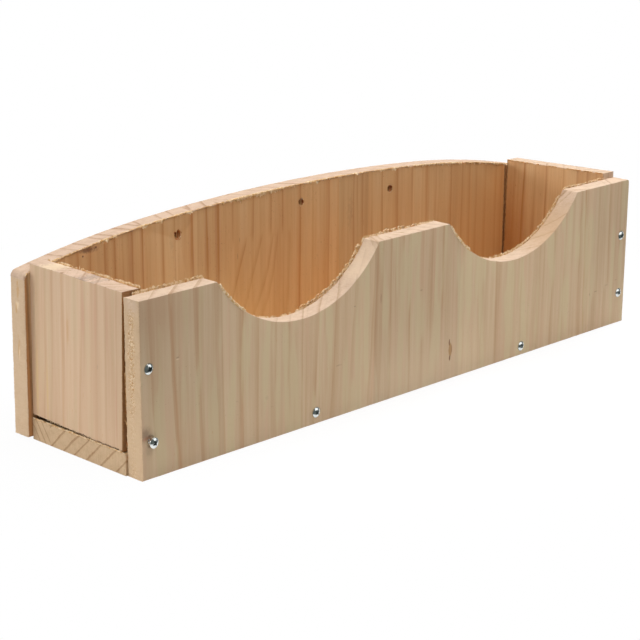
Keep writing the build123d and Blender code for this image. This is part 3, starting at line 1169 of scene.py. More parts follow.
RIGHT_MARKS = (
    # Darker and more orange towards the rear foot of the right panel's inner face: painted shade.
    Mark(96.0, 30.0, 44.0, 90.0, srgb(190, 130, 74), 0.9, 0.1, 1.0),
    # Painted shade in the corner where the right panel meets the back board.
    Mark(94.0, 50.0, 1.8, 200.0, RESIN_AND_CORNER_SHADE, 0.8, 0.8, 0.6),
)

BOTTOM_MARKS = (
    Mark(32.0, -242.3, 66.0, 8.6, SHADED, 0.95, 0.06, 0.4),
)

BACK_END_MARKS = (
    Mark(7.0, 100.0, 1.6, 9.0, GOLD_SPECK, 0.6, 1.2, 0.7),
    Mark(8.0, 90.0, 2.6, 3.5, CREAM, 0.8, 1.2, 0.7),
    Mark(9.2, 88.0, 1.2, 5.0, GOLD_SPECK, 0.6, 1.2, 0.7),
    Mark(7.5, 62.0, 1.4, 9.0, GOLD_SPECK, 0.5, 1.2, 0.7),
    Mark(7.0, 58.0, 0.7, 5.0, CREAM, 0.6, 1.2, 0.7),
)

grains = {
    "front": grain_group("front_grain", front, FRONT_GROWTH),
    "back": grain_group("back_grain", back, BACK_GROWTH),
    "bottom": grain_group("bottom_grain", bottom, BOTTOM_GROWTH),
    "left": grain_group("left_grain", left, LEFT_GROWTH),
    "right": grain_group("right_grain", right, RIGHT_GROWTH),
}
TORN_WOOD = torn_wood("torn_fibres", CREAM, GOLD)
# Darker golden wood at the roots of torn fibres and inside curls: painted shade.
TORN_ROOTS_SHADED = torn_wood("torn_roots_shaded", srgb(230, 192, 138), srgb(192, 142, 88))
# Darker, redder wood in the holes and in the gap by the left panel: drilled wood with painted shade.
DRILLED_AND_SHADED_WOOD = torn_wood("drilled_and_shaded_wood", srgb(206, 136, 82), srgb(160, 98, 58))


def board_finishes(side, seed, near, far, marks=(), cut=CUT, torn_and_shaded_rims=(0.0, 0.0), end=None, ringed=1.0,
                   tints=(), dust=0.2):
    """Materials for a board's faces, cuts, splinters, rough end and drilled holes, in that order."""
    grain = grains[side]
    hues = {PALE: 1.15, WARM: 0.4}
    near_hue = hues.get(near, 0.1)
    far_hue = hues.get(far, 0.1)
    smooth_cut = cut_wood(side + "_cut", grain, seed + 4, cut, torn_and_shaded_rims, ringed=ringed, tints=tints)
    return (
        wood(side + "_face", grain, seed, near, marks=marks, hue=near_hue, dust=dust),
        wood(side + "_other_face", grain, seed + 2, far, hue=far_hue),
        smooth_cut,
        TORN_WOOD,
        end or smooth_cut,
        TORN_ROOTS_SHADED,
        DRILLED_AND_SHADED_WOOD,
    )


def show(piece, node):
    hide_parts(node)
    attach(piece, "root")


# Front board ---------------------------------------------------

scoop_r = (SCOOP_WIDTH**2 / 4 + SCOOP_DEPTH**2) / (2 * SCOOP_DEPTH)
scoop_centre_z = FRONT_HEIGHT + scoop_r - SCOOP_DEPTH
corner_drop = scoop_centre_z - (FRONT_HEIGHT - SCOOP_CORNER)
corner_reach = sqrt((scoop_r + SCOOP_CORNER) ** 2 - corner_drop**2)
corner_angle = atan2(corner_drop, corner_reach)


def front_outline():
    """Anticlockwise from the lower left corner."""
    edge = Edge()
    edge.saw(far=0.1, wander=0.1)
    edge.line((-HALF_FRONT, 0), (HALF_FRONT, 0), COARSE)
    edge.saw(far=0.15, wander=0.05)
    edge.line((HALF_FRONT, 0), (HALF_FRONT, FRONT_HEIGHT - FRONT_CORNER), COARSE)
    edge.arc((HALF_FRONT - FRONT_CORNER, FRONT_HEIGHT - FRONT_CORNER), FRONT_CORNER, 0, pi / 2, FINE)
    place = HALF_FRONT - FRONT_CORNER
    for middle in reversed(SCOOP_MIDDLES):
        edge.saw(far=0.9, wander=0.1)
        edge.line((place, FRONT_HEIGHT), (middle + corner_reach, FRONT_HEIGHT), FINE)
        centre = (middle + corner_reach, FRONT_HEIGHT - SCOOP_CORNER)
        edge.saw(far=0.9, wander=0.1)
        edge.arc(centre, SCOOP_CORNER, pi / 2, pi - corner_angle, FINE)
        edge.saw(far=1.0, wander=0.12)
        edge.arc((middle, scoop_centre_z), scoop_r, -corner_angle, corner_angle - pi, FINE)
        centre = (middle - corner_reach, FRONT_HEIGHT - SCOOP_CORNER)
        edge.saw(far=0.9, wander=0.1)
        edge.arc(centre, SCOOP_CORNER, corner_angle, pi / 2, FINE)
        place = middle - corner_reach
    edge.saw(far=0.9, wander=0.1)
    edge.line((place, FRONT_HEIGHT), (CHIPPED_FROM, FRONT_HEIGHT), FINE)
    edge.saw(far=2.8, wander=0.1)
    edge.line((CHIPPED_FROM, FRONT_HEIGHT), (-HALF_FRONT, FRONT_HEIGHT), FINE)
    edge.saw(far=0.5, near=0.3, wander=0.15, finish=ROUGH)
    edge.line((-HALF_FRONT, FRONT_HEIGHT), (-HALF_FRONT, 0), FINE)
    return edge


CHIPPED_FROM = 6.0 - HALF_FRONT       # the rear top corner of the left end is chipped off


def front_holes():
    holes = []
    for side in (-1, 1):
        for height in END_SCREW_HEIGHTS:
            holes.append(Hole(side * END_SCREW_X, height, SHANK_R + 0.05, seat="near", seed=side + height))
    for across, height in BOTTOM_SCREWS:
        holes.append(Hole(across, height, SHANK_R + 0.05, seat="near", seed=across))
    return holes


def make_front():
    draw = random.Random(3)
    shape = Shape()
    edge = front_outline()
    panel(shape, front, edge, BOARD_T, front_holes(), seed=1.0)
    first, second = SCOOP_MIDDLES
    top = stretch(edge, lambda a, g, n: n.y > 0.15)
    left_land = [p for p in top if CHIPPED_FROM + 1 < p[0] < first - 60 and p[1] > FRONT_HEIGHT - 4]
    lands = [p for p in top if p[0] > first + 60 and p[1] > FRONT_HEIGHT - 4]
    scoops = [p for p in top if p[1] <= FRONT_HEIGHT - 4]
    curly = [p for p in scoops if first + 12 < p[0] < first + 74]
    wild = [p for p in scoops if second - 5 < p[0] < second + 74]
    curled = [p for p in lands if -22 < p[0] < 6]
    middle_land = [p for p in lands if p[0] < second]
    right_land = [p for p in lands if p[0] > second]
    for run, density, crest, root in (
        (left_land, 0.85, 2.6, ROOT_SHADE), (left_land, 0.85, 2.0, TORN), (middle_land, 0.5, 1.3, TORN),
        (right_land, 0.3, 0.6, TORN), (scoops, 0.6, 1.2, TORN), (curly, 0.8, 1.3, TORN),
        (curly, 0.7, 0.9, ROOT_SHADE), (wild, 0.9, 2.0, TORN), (wild, 0.6, 1.4, ROOT_SHADE),
    ):
        flakes(shape, front, run, BOARD_T, 1, density, crest, draw, root=root)
    for run, density, size in (
        (curly, 0.45, 1.9), (curled, 0.3, 1.7), (left_land, 0.12, 1.2), (wild, 0.12, 1.1),
    ):
        loops(shape, front, run, BOARD_T, 1, density, size, draw)
    fringe(shape, front, left_land + curly + wild, BOARD_T, 1, 0.12, 1.6, draw)
    for run, count, length, lift in (
        (right_land, 16, (5, 18), 1.2), (wild, 14, (3, 8), 1.2), (left_land, 6, (4, 12), 1.4),
        (middle_land, 8, (3, 10), 0.9),
    ):
        wisps(shape, front, run, BOARD_T, count, length, lift, draw)
    for middle in SCOOP_MIDDLES:
        rise = [p for p in top if middle - 73 < p[0] < middle - 50]
        for _ in range(2):
            flakes(shape, front, rise, 0.0, -1, 0.8, 1.8, draw, away=(-0.2, 0.1), root=TORN)
    gap_fibres(shape, draw)
    end = cut_wood(
        "front_end", grains["front"], 30.0, FRONT_END, marks=FRONT_END_MARKS, stipple=0.8, scars=1.8
    )
    finishes = board_finishes(
        "front", 2.0, PALE, STRAW, FRONT_MARKS, torn_and_shaded_rims=(0.0, 0.25), end=end, ringed=0.9,
        tints=SCOOP_TINTS
    )
    piece = shape.build("front_board_wood", finishes)
    show(piece, "front_board")


SCOOP_TINTS = (
    Mark(-52.0, 101.0, 16.0, 22.0, srgb(236, 210, 180), 0.6, 0.1, 0.8),
    Mark(-45.0, 114.0, 9.0, 10.0, srgb(232, 208, 178), 0.8, 0.1, 0.9),
    Mark(152.0, 95.0, 46.0, 30.0, srgb(197, 162, 125), 0.65, 0.2, 0.8),
)
FRONT_END = (srgb(216, 187, 152), srgb(184, 146, 108))
FRONT_END_MARKS = (
    Mark(2.0, 20.0, 3.0, 30.0, PINKISH, 0.35, 0.5, 0.9),
    Mark(7.0, 112.0, 9.0, 9.0, CUT[0], 0.7, 0.3, 0.8),
    Mark(7.0, 22.0, 12.0, 36.0, FRONT_END[0], 0.75, 0.5, 0.7),
)


def gap_fibres(shape, draw):
    """Fibres torn from the board's rear left edge, in the gap to the end panel."""
    for _ in range(110):
        height = draw.uniform(4, 76)
        root = front.at(draw.uniform(0.1, 2.5) - HALF_FRONT, height, BOARD_T - 0.4)
        heading = front.along * draw.choice((-1, 1)) + front.depth * draw.uniform(0.2, 0.9)
        heading += front.across * draw.uniform(-0.1, 0.3)
        bend = front.depth * draw.uniform(-1.2, 0.6)
        path = splinter_path(root, heading, bend, draw.uniform(1.0, 4.0))
        finish = draw.choice((ROOT_SHADE, ROOT_SHADE, BORE))
        sliver(shape, path, front.across, draw.uniform(0.3, 0.9), draw.uniform(0.15, 0.4), finish)
    path = []
    for i in range(15):
        share = i / 14
        across = 0.3 + 0.9 * sin(pi * share) - HALF_FRONT
        path.append(front.at(across, 67 - 27 * share, BOARD_T + 0.2 + 1.3 * sin(pi * share * 0.8)))
    sliver(shape, path, front.across, 1.0, 0.35, ROOT_SHADE, blunt=0.4)


# Back board ----------------------------------------------------

crown_lean = asin(CROWN_HALF / CROWN_R)
crown_centre = (CROWN_SHIFT, CROWN_HEIGHT - CROWN_R)


def haunch_centre(side):
    reach = CROWN_R - HAUNCH_R
    return (crown_centre[0] + side * reach * sin(crown_lean), crown_centre[1] + reach * cos(crown_lean))


def haunch_corner(side, end):
    """Centre of the rounded top corner, and the haunch's angle where it starts."""
    centre = haunch_centre(side)
    across = end - side * BACK_CORNER
    rise = sqrt((HAUNCH_R - BACK_CORNER) ** 2 - (across - centre[0]) ** 2)
    angle = atan2(rise, across - centre[0])
    return (across, centre[1] + rise), angle


def back_outline():
    edge = Edge()
    edge.saw(near=0.1, wander=0.1)
    edge.line((-HALF_BACK, BACK_LIFT), (HALF_BACK, BACK_LIFT), COARSE)
    corner, corner_turn = haunch_corner(1, HALF_BACK)
    edge.saw(near=0.2, wander=0.1)
    edge.line((HALF_BACK, BACK_LIFT), (HALF_BACK, corner[1]), COARSE)
    edge.arc(corner, BACK_CORNER, 0, corner_turn, FINE)
    edge.saw(near=1.3, wander=0.12)
    edge.arc(haunch_centre(1), HAUNCH_R, corner_turn, pi / 2 - crown_lean, FINE)
    edge.arc(crown_centre, CROWN_R, pi / 2 - crown_lean, pi / 2 + crown_lean, FINE)
    left_top = -HALF_BACK + BACK_SLANT
    corner, corner_turn = haunch_corner(-1, left_top)
    edge.arc(haunch_centre(-1), HAUNCH_R, pi / 2 + crown_lean, corner_turn, FINE)
    edge.points = [torn_more(point) for point in edge.points]
    edge.arc(corner, BACK_CORNER, corner_turn, pi, FINE)
    edge.saw(near=0.3, wander=0.2, finish=ROUGH)
    edge.line((left_top, corner[1]), (-HALF_BACK, BACK_LIFT), 1.0)
    return edge


def torn_more(point):
    """Makes the tear of the arch's inner edge uneven, and deepest along its worst stretch."""
    a, g, far, near, wander, finish = point
    if near > 1:
        near *= 1 + 4 * max(0.0, noise.noise(Vector((a * 0.13, 2.5, 0))))
        near = min(3.4, near * (2.2 if -76 < a < -28 else 1))
    return (a, g, far, near, wander, finish)


def right_panel_middle(height):
    at_foot = right_foot.x - right_width * sin(RIGHT_YAW) - BOARD_T / 2
    return at_foot + (height - BOARD_T) * tan(RIGHT_LEAN)


def left_panel_middle(height):
    return LEFT_SET_IN - HALF_BOTTOM + BOARD_T / 2 + (height - BOARD_T) * tan(LEFT_LEAN)


right_width = (2 * HALF_INNER - yaw_step - RIGHT_REAR_GAP) / cos(RIGHT_YAW)


def rear_places():
    """Where the rear screws go, across and up."""
    ends = []
    for height in END_SCREW_HEIGHTS:
        ends.append((left_panel_middle(height), height))
        ends.append((right_panel_middle(height), height))
    return ends


BACK_END = (srgb(214, 186, 154), srgb(186, 150, 112))
BACK_CUT = (srgb(214, 186, 162), srgb(160, 118, 84))


def make_back():
    draw = random.Random(5)
    shape = Shape()
    edge = back_outline()
    holes = []
    for i, (a, g) in enumerate(HANG_HOLES):
        holes.append(Hole(a, g, HANG_HOLE_R, ragged=0.8 if i else 1.9, sides=32, seed=3.0 + i))
    for a, g in rear_places() + list(BOTTOM_SCREWS):
        holes.append(Hole(a, g, SHANK_R + 0.05, seat="far", seed=a))
    panel(shape, back, edge, BOARD_T, holes, seed=6.0)
    top = stretch(edge, lambda a, g, n: n.y > 0.5)
    worst = [p for p in top if -96 < p[0] < -2 or 120 < p[0] < 232]
    patch = [p for p in top if -66 < p[0] < -38]
    for run, crest, density, root in (
        (top, 1.7, 0.5, TORN), (top, 1.2, 0.5, ROOT_SHADE), (worst, 3.0, 0.6, TORN), (patch, 5.0, 0.9, TORN),
        (patch, 3.0, 0.9, ROOT_SHADE),
    ):
        flakes(shape, back, run, 0.0, -1, density, crest, draw, CROWN_HEIGHT - 0.02, (0.1, 0.4),
               root=root, droop=True)
    for i, (a, g) in enumerate(HANG_HOLES):
        hole_fuzz(shape, a, g, draw)
    end = cut_wood("back_end", grains["back"], 33.0, BACK_END, marks=BACK_END_MARKS)
    finishes = board_finishes(
        "back", 5.0, SHADED_HONEY, PALE, BACK_MARKS, BACK_CUT, torn_and_shaded_rims=(0.4, 0.0), end=end, dust=0.35
    )
    piece = shape.build("back_board_wood", finishes)
    show(piece, "back_board")


def hole_fuzz(shape, a, g, draw):
    """Short fibres round a drilled hole's mouth, most of them at the lower right."""
    for _ in range(16):
        across = draw.uniform(-0.2, 1.0) * HANG_HOLE_R
        half = sqrt(HANG_HOLE_R**2 - across**2) + 0.2
        bow = draw.uniform(-0.4, 0.4)
        b = draw.uniform(0.5, 2.5)
        path = [back.at(a + across + bow * (1 - t * t), g + half * t, b) for t in (-1, -0.5, 0, 0.4, 0.8)]
        sliver(shape, path, back.across, draw.uniform(0.25, 0.6), 0.2, draw.choice((BORE, ROOT_SHADE)))
    for _ in range(30):
        angle = draw.gauss(-0.9, 1.1)
        r = HANG_HOLE_R + draw.uniform(0.0, 0.5)
        root = back.at(a + r * cos(angle), g + r * sin(angle), 0.1)
        heading = back.across * -cos(angle) * 0.5 + back.along * draw.choice((-1, 1)) * 0.7
        heading += back.depth * -draw.uniform(0.2, 0.9)
        path = splinter_path(root, heading, back.across * draw.uniform(-1, 1), draw.uniform(0.5, 1.4))
        sliver(shape, path, back.across, draw.uniform(0.2, 0.5), 0.15, TORN)


# Bottom board and end panels -------------------------------------


def make_bottom():
    draw = random.Random(7)
    shape = Shape()
    edge = Edge()
    edge.saw(far=0.1, near=0.1)
    edge.line((-HALF_INNER, -HALF_BOTTOM), (HALF_INNER, -HALF_BOTTOM), FINE)
    edge.saw(far=0.05, near=0.05)
    edge.line((HALF_INNER, -HALF_BOTTOM), (HALF_INNER, HALF_BOTTOM), COARSE)
    edge.saw(far=0.2, near=0.3, wander=0.15)
    edge.line((HALF_INNER, HALF_BOTTOM), (-HALF_INNER, HALF_BOTTOM), 1.0)
    edge.saw(far=0.05, near=0.05)
    edge.line((-HALF_INNER, HALF_BOTTOM), (-HALF_INNER, -HALF_BOTTOM), COARSE)
    panel(shape, bottom, edge, BOARD_T, seed=9.0)
    ends = stretch(edge, lambda a, g, n: n.y < -0.7)
    for _ in range(3):
        flakes(shape, bottom, ends, 0.0, -1, 0.75, 0.9, draw, away=(0.3, 1.1), root=TORN)
    finishes = board_finishes("bottom", 8.0, STRAW, PALE, BOTTOM_MARKS, cut=END)
    piece = shape.build("bottom_board_wood", finishes)
    show(piece, "bottom_board")


# The left panel's front edge in the gap to the front board: dark torn wood with painted shade.
SHADED_GAP_WALL = (srgb(172, 128, 86), srgb(112, 74, 44))
LEFT_TINTS = (
    Mark(-5.0, 103.0, 7.0, 5.0, srgb(158, 138, 126), 0.6, 1.5, 0.8),
    Mark(-16.0, 103.0, 4.0, 5.0, srgb(158, 138, 126), 0.4, 1.5, 0.8),
    Mark(30.0, 104.0, 12.0, 6.0, CREAM, 0.5, 1.0, 0.8),
)


def make_left():
    draw = random.Random(9)
    shape = Shape()
    edge = Edge()
    top = END_HEIGHT - BOARD_T
    foot_front = (LEFT_TOE_GAP - HALF_INNER, 0)
    foot_back = (HALF_INNER, LEFT_HEEL_LIFT)
    tip_back = (HALF_INNER, top + LEFT_REAR_RISE)
    tip_front = (LEFT_TIP_GAP - HALF_INNER, top)
    edge.saw(near=0.25, wander=0.05)
    edge.line(foot_front, foot_back, FINE)
    edge.saw(near=0.2, wander=0.1)
    edge.line(foot_back, tip_back, 1.0)
    edge.saw(far=1.0, near=0.25, wander=0.2)
    edge.line(tip_back, tip_front, FINE)
    edge.saw(near=0.15, wander=0.08, finish=ROUGH)
    edge.line(tip_front, foot_front, FINE)
    panel(shape, left, edge, BOARD_T, seed=12.0)
    rim = stretch(edge, lambda a, g, n: n.y > 0.7)
    nearer = [p for p in rim if p[0] < 5]
    nearest = [p for p in rim if p[0] < -25]
    for run, density, crest in ((rim, 0.6, 1.3), (nearer, 0.7, 2.0), (nearest, 0.9, 2.4)):
        flakes(shape, left, run, BOARD_T, 1, density, crest, draw)
    fringe(shape, left, rim, BOARD_T, 1, 0.1, 1.8, draw)
    foot = stretch(edge, lambda a, g, n: n.y < -0.7)
    fringe(shape, left, foot, 0.0, -1, 0.3, 0.7, draw, lift=0.1)
    shaded_gap_wall = cut_wood("left_shaded_gap_wall", grains["left"], 36.0, SHADED_GAP_WALL, scars=1.5)
    finishes = board_finishes(
        "left", 11.0, WARM, STRAW, LEFT_MARKS, BACK_CUT, torn_and_shaded_rims=(0.0, 0.4), end=shaded_gap_wall, ringed=1.4,
        tints=LEFT_TINTS
    )
    piece = shape.build("left_end_panel_wood", finishes)
    show(piece, "left_end_panel")


def make_right():
    draw = random.Random(13)
    shape = Shape()
    edge = Edge()
    top = END_HEIGHT - BOARD_T
    edge.saw(far=0.1, near=0.1)
    edge.line((0, 0), (right_width, 0), COARSE)
    edge.saw(far=0.2, near=0.4, wander=0.2)
    edge.line((right_width, 0), (right_width, top + RIGHT_REAR_RISE), 1.0)
    edge.saw(far=0.2, near=0.6, wander=0.12)
    edge.line((right_width, top + RIGHT_REAR_RISE), (0, top + RIGHT_FRONT_RISE), FINE)
    edge.saw(far=0.2, near=0.3, wander=0.1)
    edge.line((0, top + RIGHT_FRONT_RISE), (0, 0), 1.0)
    panel(shape, right, edge, BOARD_T, seed=15.0)
    rim = stretch(edge, lambda a, g, n: n.y > 0.7)
    flakes(shape, right, rim, 0.0, -1, 0.5, 0.6, draw, away=(0.1, 0.4))
    finishes = board_finishes("right", 14.0, SHADED_DEEP, PALE, RIGHT_MARKS, torn_and_shaded_rims=(0.5, 0.0))
    piece = shape.build("right_end_panel_wood", finishes)
    show(piece, "right_end_panel")


# ---------------------------------------------------------------- screws

RECESS_WIDTH = 4.2
RECESS_SLOT = 1.1
RECESS_DEPTH = 1.3
RECESS_TAPER = tan(radians(12))
THREAD_PITCH = 1.6
THREAD_CREST = 0.45
HEAD_SIDES = 48


def zinc(name, light, dark, metal=1.0):
    """Zinc plate with faint clouds and scuffs."""
    material, tree = new_material(name)
    place = millimetre_place(tree)
    cloud = tree.noise(place, (0.5, 0.5, 0.5), 3, 0.6, 2.0)
    scuff = tree.noise(place, (2.5, 2.5, 2.5), 3, 0.6, 5.0)
    colour = tree.mix(tree.span(cloud, 0.35, 0.65), light, dark)
    rough = tree.span(scuff, 0.3, 0.7, 0.1, 0.2)
    shader = tree.add("BsdfPrincipled", {"Base Color": colour, "Roughness": rough})
    shader.inputs["Metallic"].default_value = metal
    bump = tree.add("Bump", {"Height": scuff, "Distance": 0.05 * MM, "Strength": 0.25})
    tree.feed(shader.inputs["Normal"], bump.outputs[0])
    out = tree.add("OutputMaterial")
    tree.tree.links.new(shader.outputs[0], out.inputs["Surface"])
    return material


def dome_height(r):
    """Height of the head's domed top, this far from its middle."""
    rise = HEAD_T - HEAD_RIM
    dome_r = (HEAD_R**2 + rise**2) / (2 * rise)
    return HEAD_T - dome_r + sqrt(dome_r**2 - r**2)


def screw_profile():
    """Radius and height down the head, from the crown to its underside."""
    points = []
    for i in range(13):
        r = HEAD_R * sin(pi / 2 * i / 12)
        points.append((r, dome_height(r)))
    points += [(HEAD_R, HEAD_RIM * 0.6), (HEAD_R - 0.04, 0.12), (HEAD_R - 0.16, 0.0)]
    return points


def head_mesh():
    """The domed head with its cross recess, standing on z = 0."""
    shape = Shape()
    rows = []
    for r, z in screw_profile()[1:]:
        row = []
        for i in range(HEAD_SIDES):
            angle = 2 * pi * i / HEAD_SIDES
            row.append(shape.corner((r * cos(angle), r * sin(angle), z)))
        rows.append(row)
    crown = shape.corner((0, 0, HEAD_T))
    for i in range(HEAD_SIDES):
        shape.face((crown, rows[0][i], rows[0][(i + 1) % HEAD_SIDES]), 0)
    for lower, upper in zip(rows, rows[1:]):
        shape.strip(lower, upper, 0)
    shape.face(rows[-1], 0)
    head = shape.build("screw_head", [ZINC], sharp=35)
    cutter = recess_cutter()
    cut = head.modifiers.new("recess", "BOOLEAN")
    cut.operation = "DIFFERENCE"
    cut.solver = "EXACT"
    cut.object = cutter
    soften = head.modifiers.new("soften", "BEVEL")
    soften.width = 0.09 * MM
    soften.segments = 2
    soften.limit_method = "ANGLE"
    soften.angle_limit = radians(38)
    depsgraph = bpy.context.evaluated_depsgraph_get()
    mesh = bpy.data.meshes.new_from_object(head.evaluated_get(depsgraph))
    for piece in (head, cutter):
        bpy.data.objects.remove(piece)
    mesh.shade_smooth()
    mesh.set_sharp_from_angle(angle=radians(50))
    mesh.materials.append(RECESS_SHADE)
    # Faces sunk in the cross recess take the painted-shade metal.
    for face in mesh.polygons:
        r = hypot(face.center.x, face.center.y) / MM
        if r < RECESS_WIDTH / 2 + 0.1 and dome_height(r) - face.center.z / MM > 0.14:
            face.material_index = 1
    return mesh


def recess_cutter():
    """A cross with tapered arms and flared inner corners."""
    shape = Shape()
    half = RECESS_WIDTH / 2
    slot = RECESS_SLOT / 2
    rows = []
    for depth, flare in ((-0.4, 1.0), (RECESS_DEPTH, 0.0)):
        draw_in = max(0.0, depth) * RECESS_TAPER
        reach = half - draw_in * 2.2
        wide = slot - draw_in * 0.5
        waist = wide + 0.1 * flare
        row = []
        for quarter in range(4):
            turn = Matrix.Rotation(pi / 2 * quarter, 3, "Z")
            for a, g in ((reach, -wide), (reach, wide), (waist + 0.1, waist + 0.1)):
                spot = turn @ Vector((a, g, 0))
                row.append(shape.corner((spot.x, spot.y, HEAD_T - depth)))
        rows.append(row)
    shape.strip(rows[0], rows[1], 0)
    shape.face(rows[0], 0)
    shape.face(rows[1], 0)
    return shape.build("recess_cutter", [ZINC])


def shank_mesh():
    """The threaded shank, from under the head down to its point."""
    shape = Shape()
    sides = 16
    step = THREAD_PITCH / 6
    count = round(SCREW_LENGTH / step)
    rows = []
    for j in range(count + 1):
        z = -SCREW_LENGTH * j / count
        to_tip = (SCREW_LENGTH + z) / 4.0
        row = []
        for i in range(sides):
            angle = 2 * pi * i / sides
            phase = (z / THREAD_PITCH - i / sides) % 1.0
            crest = max(0.0, 1 - abs(phase - 0.5) * 4)
            r = (SHANK_R - THREAD_CREST + THREAD_CREST * crest) * min(1.0, max(0.02, to_tip))
            row.append(shape.corner((r * cos(angle), r * sin(angle), z)))
        rows.append(row)
    for lower, upper in zip(rows, rows[1:]):
        shape.strip(lower, upper, 0)
    shape.face(rows[0], 0)
    shape.face(rows[-1], 0)
    piece = shape.build("screw_shank", [ZINC], sharp=60)
    mesh = piece.data
    bpy.data.objects.remove(piece)
    return mesh


def screw_group(name, node, places):
    """Screws of one node. Each place is (x, y, z, outward along y, turn, tip to one side)."""
    joined = bmesh.new()
    for x, y, z, out, turn, tip in places:
        spot = Matrix.Translation(Vector((x, y, z)) * MM)
        lay = Matrix.Rotation(pi / 2 * (1 if out < 0 else -1), 4, "X")
        spin = Matrix.Rotation(radians(turn), 4, "Z")
        lean = Matrix.Rotation(radians(tip), 4, "Y")
        for source in (HEAD_MESH, SHANK_MESH):
            part = source.copy()
            part.transform(spot @ lay @ lean @ spin)
            joined.from_mesh(part)
            bpy.data.meshes.remove(part)
    mesh = bpy.data.meshes.new(name)
    joined.to_mesh(mesh)
    joined.free()
    mesh.materials.append(ZINC)
    mesh.materials.append(RECESS_SHADE)
    piece = bpy.data.objects.new(name, mesh)
    bpy.context.scene.collection.objects.link(piece)
    show(piece, node)


def make_screws():
    front_y = -HALF_DEPTH + HEAD_SINK
    rear_y = HALF_DEPTH - HEAD_SINK
    upper, lower = END_SCREW_HEIGHTS
    screw_group("front_end_screws_zinc", "front_end_screws", (
        (-END_SCREW_X, front_y, upper, -1, 20, 0),
        (-END_SCREW_X, -HALF_DEPTH - LOOSE_STAND_OFF, lower, -1, 30, 0),
        (END_SCREW_X, front_y, upper, -1, 15, 0),
        (END_SCREW_X, front_y, lower, -1, 40, 0),
    ))
    screw_group("front_bottom_screws_zinc", "front_bottom_screws", tuple(
        (x, front_y, z, -1, turn, 0) for (x, z), turn in zip(BOTTOM_SCREWS, (30, 35))
    ))
    screw_group("rear_end_screws_zinc", "rear_end_screws", tuple(
        (x, rear_y, z, 1, 17 * i, 0) for i, (x, z) in enumerate(rear_places())
    ))
    screw_group("rear_bottom_screws_zinc", "rear_bottom_screws", tuple(
        (x, rear_y, z, 1, turn, 0) for (x, z), turn in zip(BOTTOM_SCREWS, (10, 55))
    ))


# ---------------------------------------------------------------- studio

CAMERA_PLACE = Vector((-917.0, -865.6, 409.6))
CAMERA_TARGET = Vector((-48.9, 13.4, 46.5))
CAMERA_LENS = 102.1
CAMERA_SHIFT = 0.0471


def add_camera():
    data = bpy.data.cameras.new("camera")
    data.lens = CAMERA_LENS
    data.shift_x = CAMERA_SHIFT
    data.clip_start = 0.01
    camera = bpy.data.objects.new("camera", data)
    camera.location = CAMERA_PLACE * MM
    camera.rotation_euler = (CAMERA_TARGET - CAMERA_PLACE).to_track_quat("-Z", "Y").to_euler()
    bpy.context.scene.collection.objects.link(camera)
    bpy.context.scene.camera = camera


def area_light(name, place, size, watts, target=(0, 0, 60)):
    data = bpy.data.lights.new(name, "AREA")
    data.shape = "DISK"
    data.size = size * MM
    data.energy = watts
    lamp = bpy.data.objects.new(name, data)
    lamp.location = Vector(place) * MM
    lamp.rotation_euler = (Vector(target) - Vector(place)).to_track_quat("-Z", "Y").to_euler()
    bpy.context.scene.collection.objects.link(lamp)


def plain_sheet(name, corners, material):
    mesh = bpy.data.meshes.new(name)
    mesh.from_pydata([Vector(c) * MM for c in corners], [], [(0, 1, 2, 3)])
    mesh.materials.append(material)
    piece = bpy.data.objects.new(name, mesh)
    bpy.context.scene.collection.objects.link(piece)
    return piece


def seen_rays(tree, glossy=True):
    """1 for light paths that show the white background, and 0 for those that carry light."""
    rays = tree.add("LightPath")
    seen = tree.math("MAXIMUM", rays.outputs["Is Camera Ray"], rays.outputs["Is Transmission Ray"])
    if glossy:
        seen = tree.math("MAXIMUM", seen, rays.outputs["Is Glossy Ray"])
    return seen


FLOOR_REACH = 6000.0
TABLE_MIDDLE = (40.0, 60.0, 0.0)      # the lit paper round the part, which bounces light up
TABLE_HALF = (560.0, 430.0)
TABLE_LEVEL = 0.93
ROOM_LEVEL = 0.1
SHADOW_KEPT = 0.2
SHADOW_REACH = 420.0
WORLD_LEVEL = 0.02


def add_floor():
    """White paper that fades into a dim room. The lens sees white, less some of the shadow."""
    material, tree = new_material("floor_paper")
    world = tree.add("TexCoord").outputs["Object"]
    place = tree.vector("SUBTRACT", world, tuple(Vector(TABLE_MIDDLE) * MM))
    shrunk = tree.vector("MULTIPLY", place, (1 / MM / TABLE_HALF[0], 1 / MM / TABLE_HALF[1], 0))
    far = tree.vector("LENGTH", shrunk)
    level = tree.span(far, 0.85, 1.15, TABLE_LEVEL, ROOM_LEVEL, smooth=True)
    near = tree.span(tree.vector("LENGTH", place), 0.0, SHADOW_REACH * MM, 1.0, 0.0, smooth=True)
    seen = seen_rays(tree)
    shade = tree.add("BsdfDiffuse", {"Color": (0.95, 0.95, 0.95, 1.0)})
    bounce = tree.add("BsdfDiffuse", {"Color": level})
    glow = tree.add("Emission", {"Color": (1, 1, 1, 1), "Strength": 1.0})
    kept = tree.add("MixShader", {0: tree.times(near, SHADOW_KEPT)})
    tree.tree.links.new(glow.outputs[0], kept.inputs[1])
    tree.tree.links.new(shade.outputs[0], kept.inputs[2])
    blend = tree.add("MixShader", {0: seen})
    tree.tree.links.new(bounce.outputs[0], blend.inputs[1])
    tree.tree.links.new(kept.outputs[0], blend.inputs[2])
    out = tree.add("OutputMaterial")
    tree.tree.links.new(blend.outputs[0], out.inputs["Surface"])
    r = FLOOR_REACH
    plain_sheet("floor", ((-r, -r, -0.02), (r, -r, -0.02), (r, r, -0.02), (-r, r, -0.02)), material)


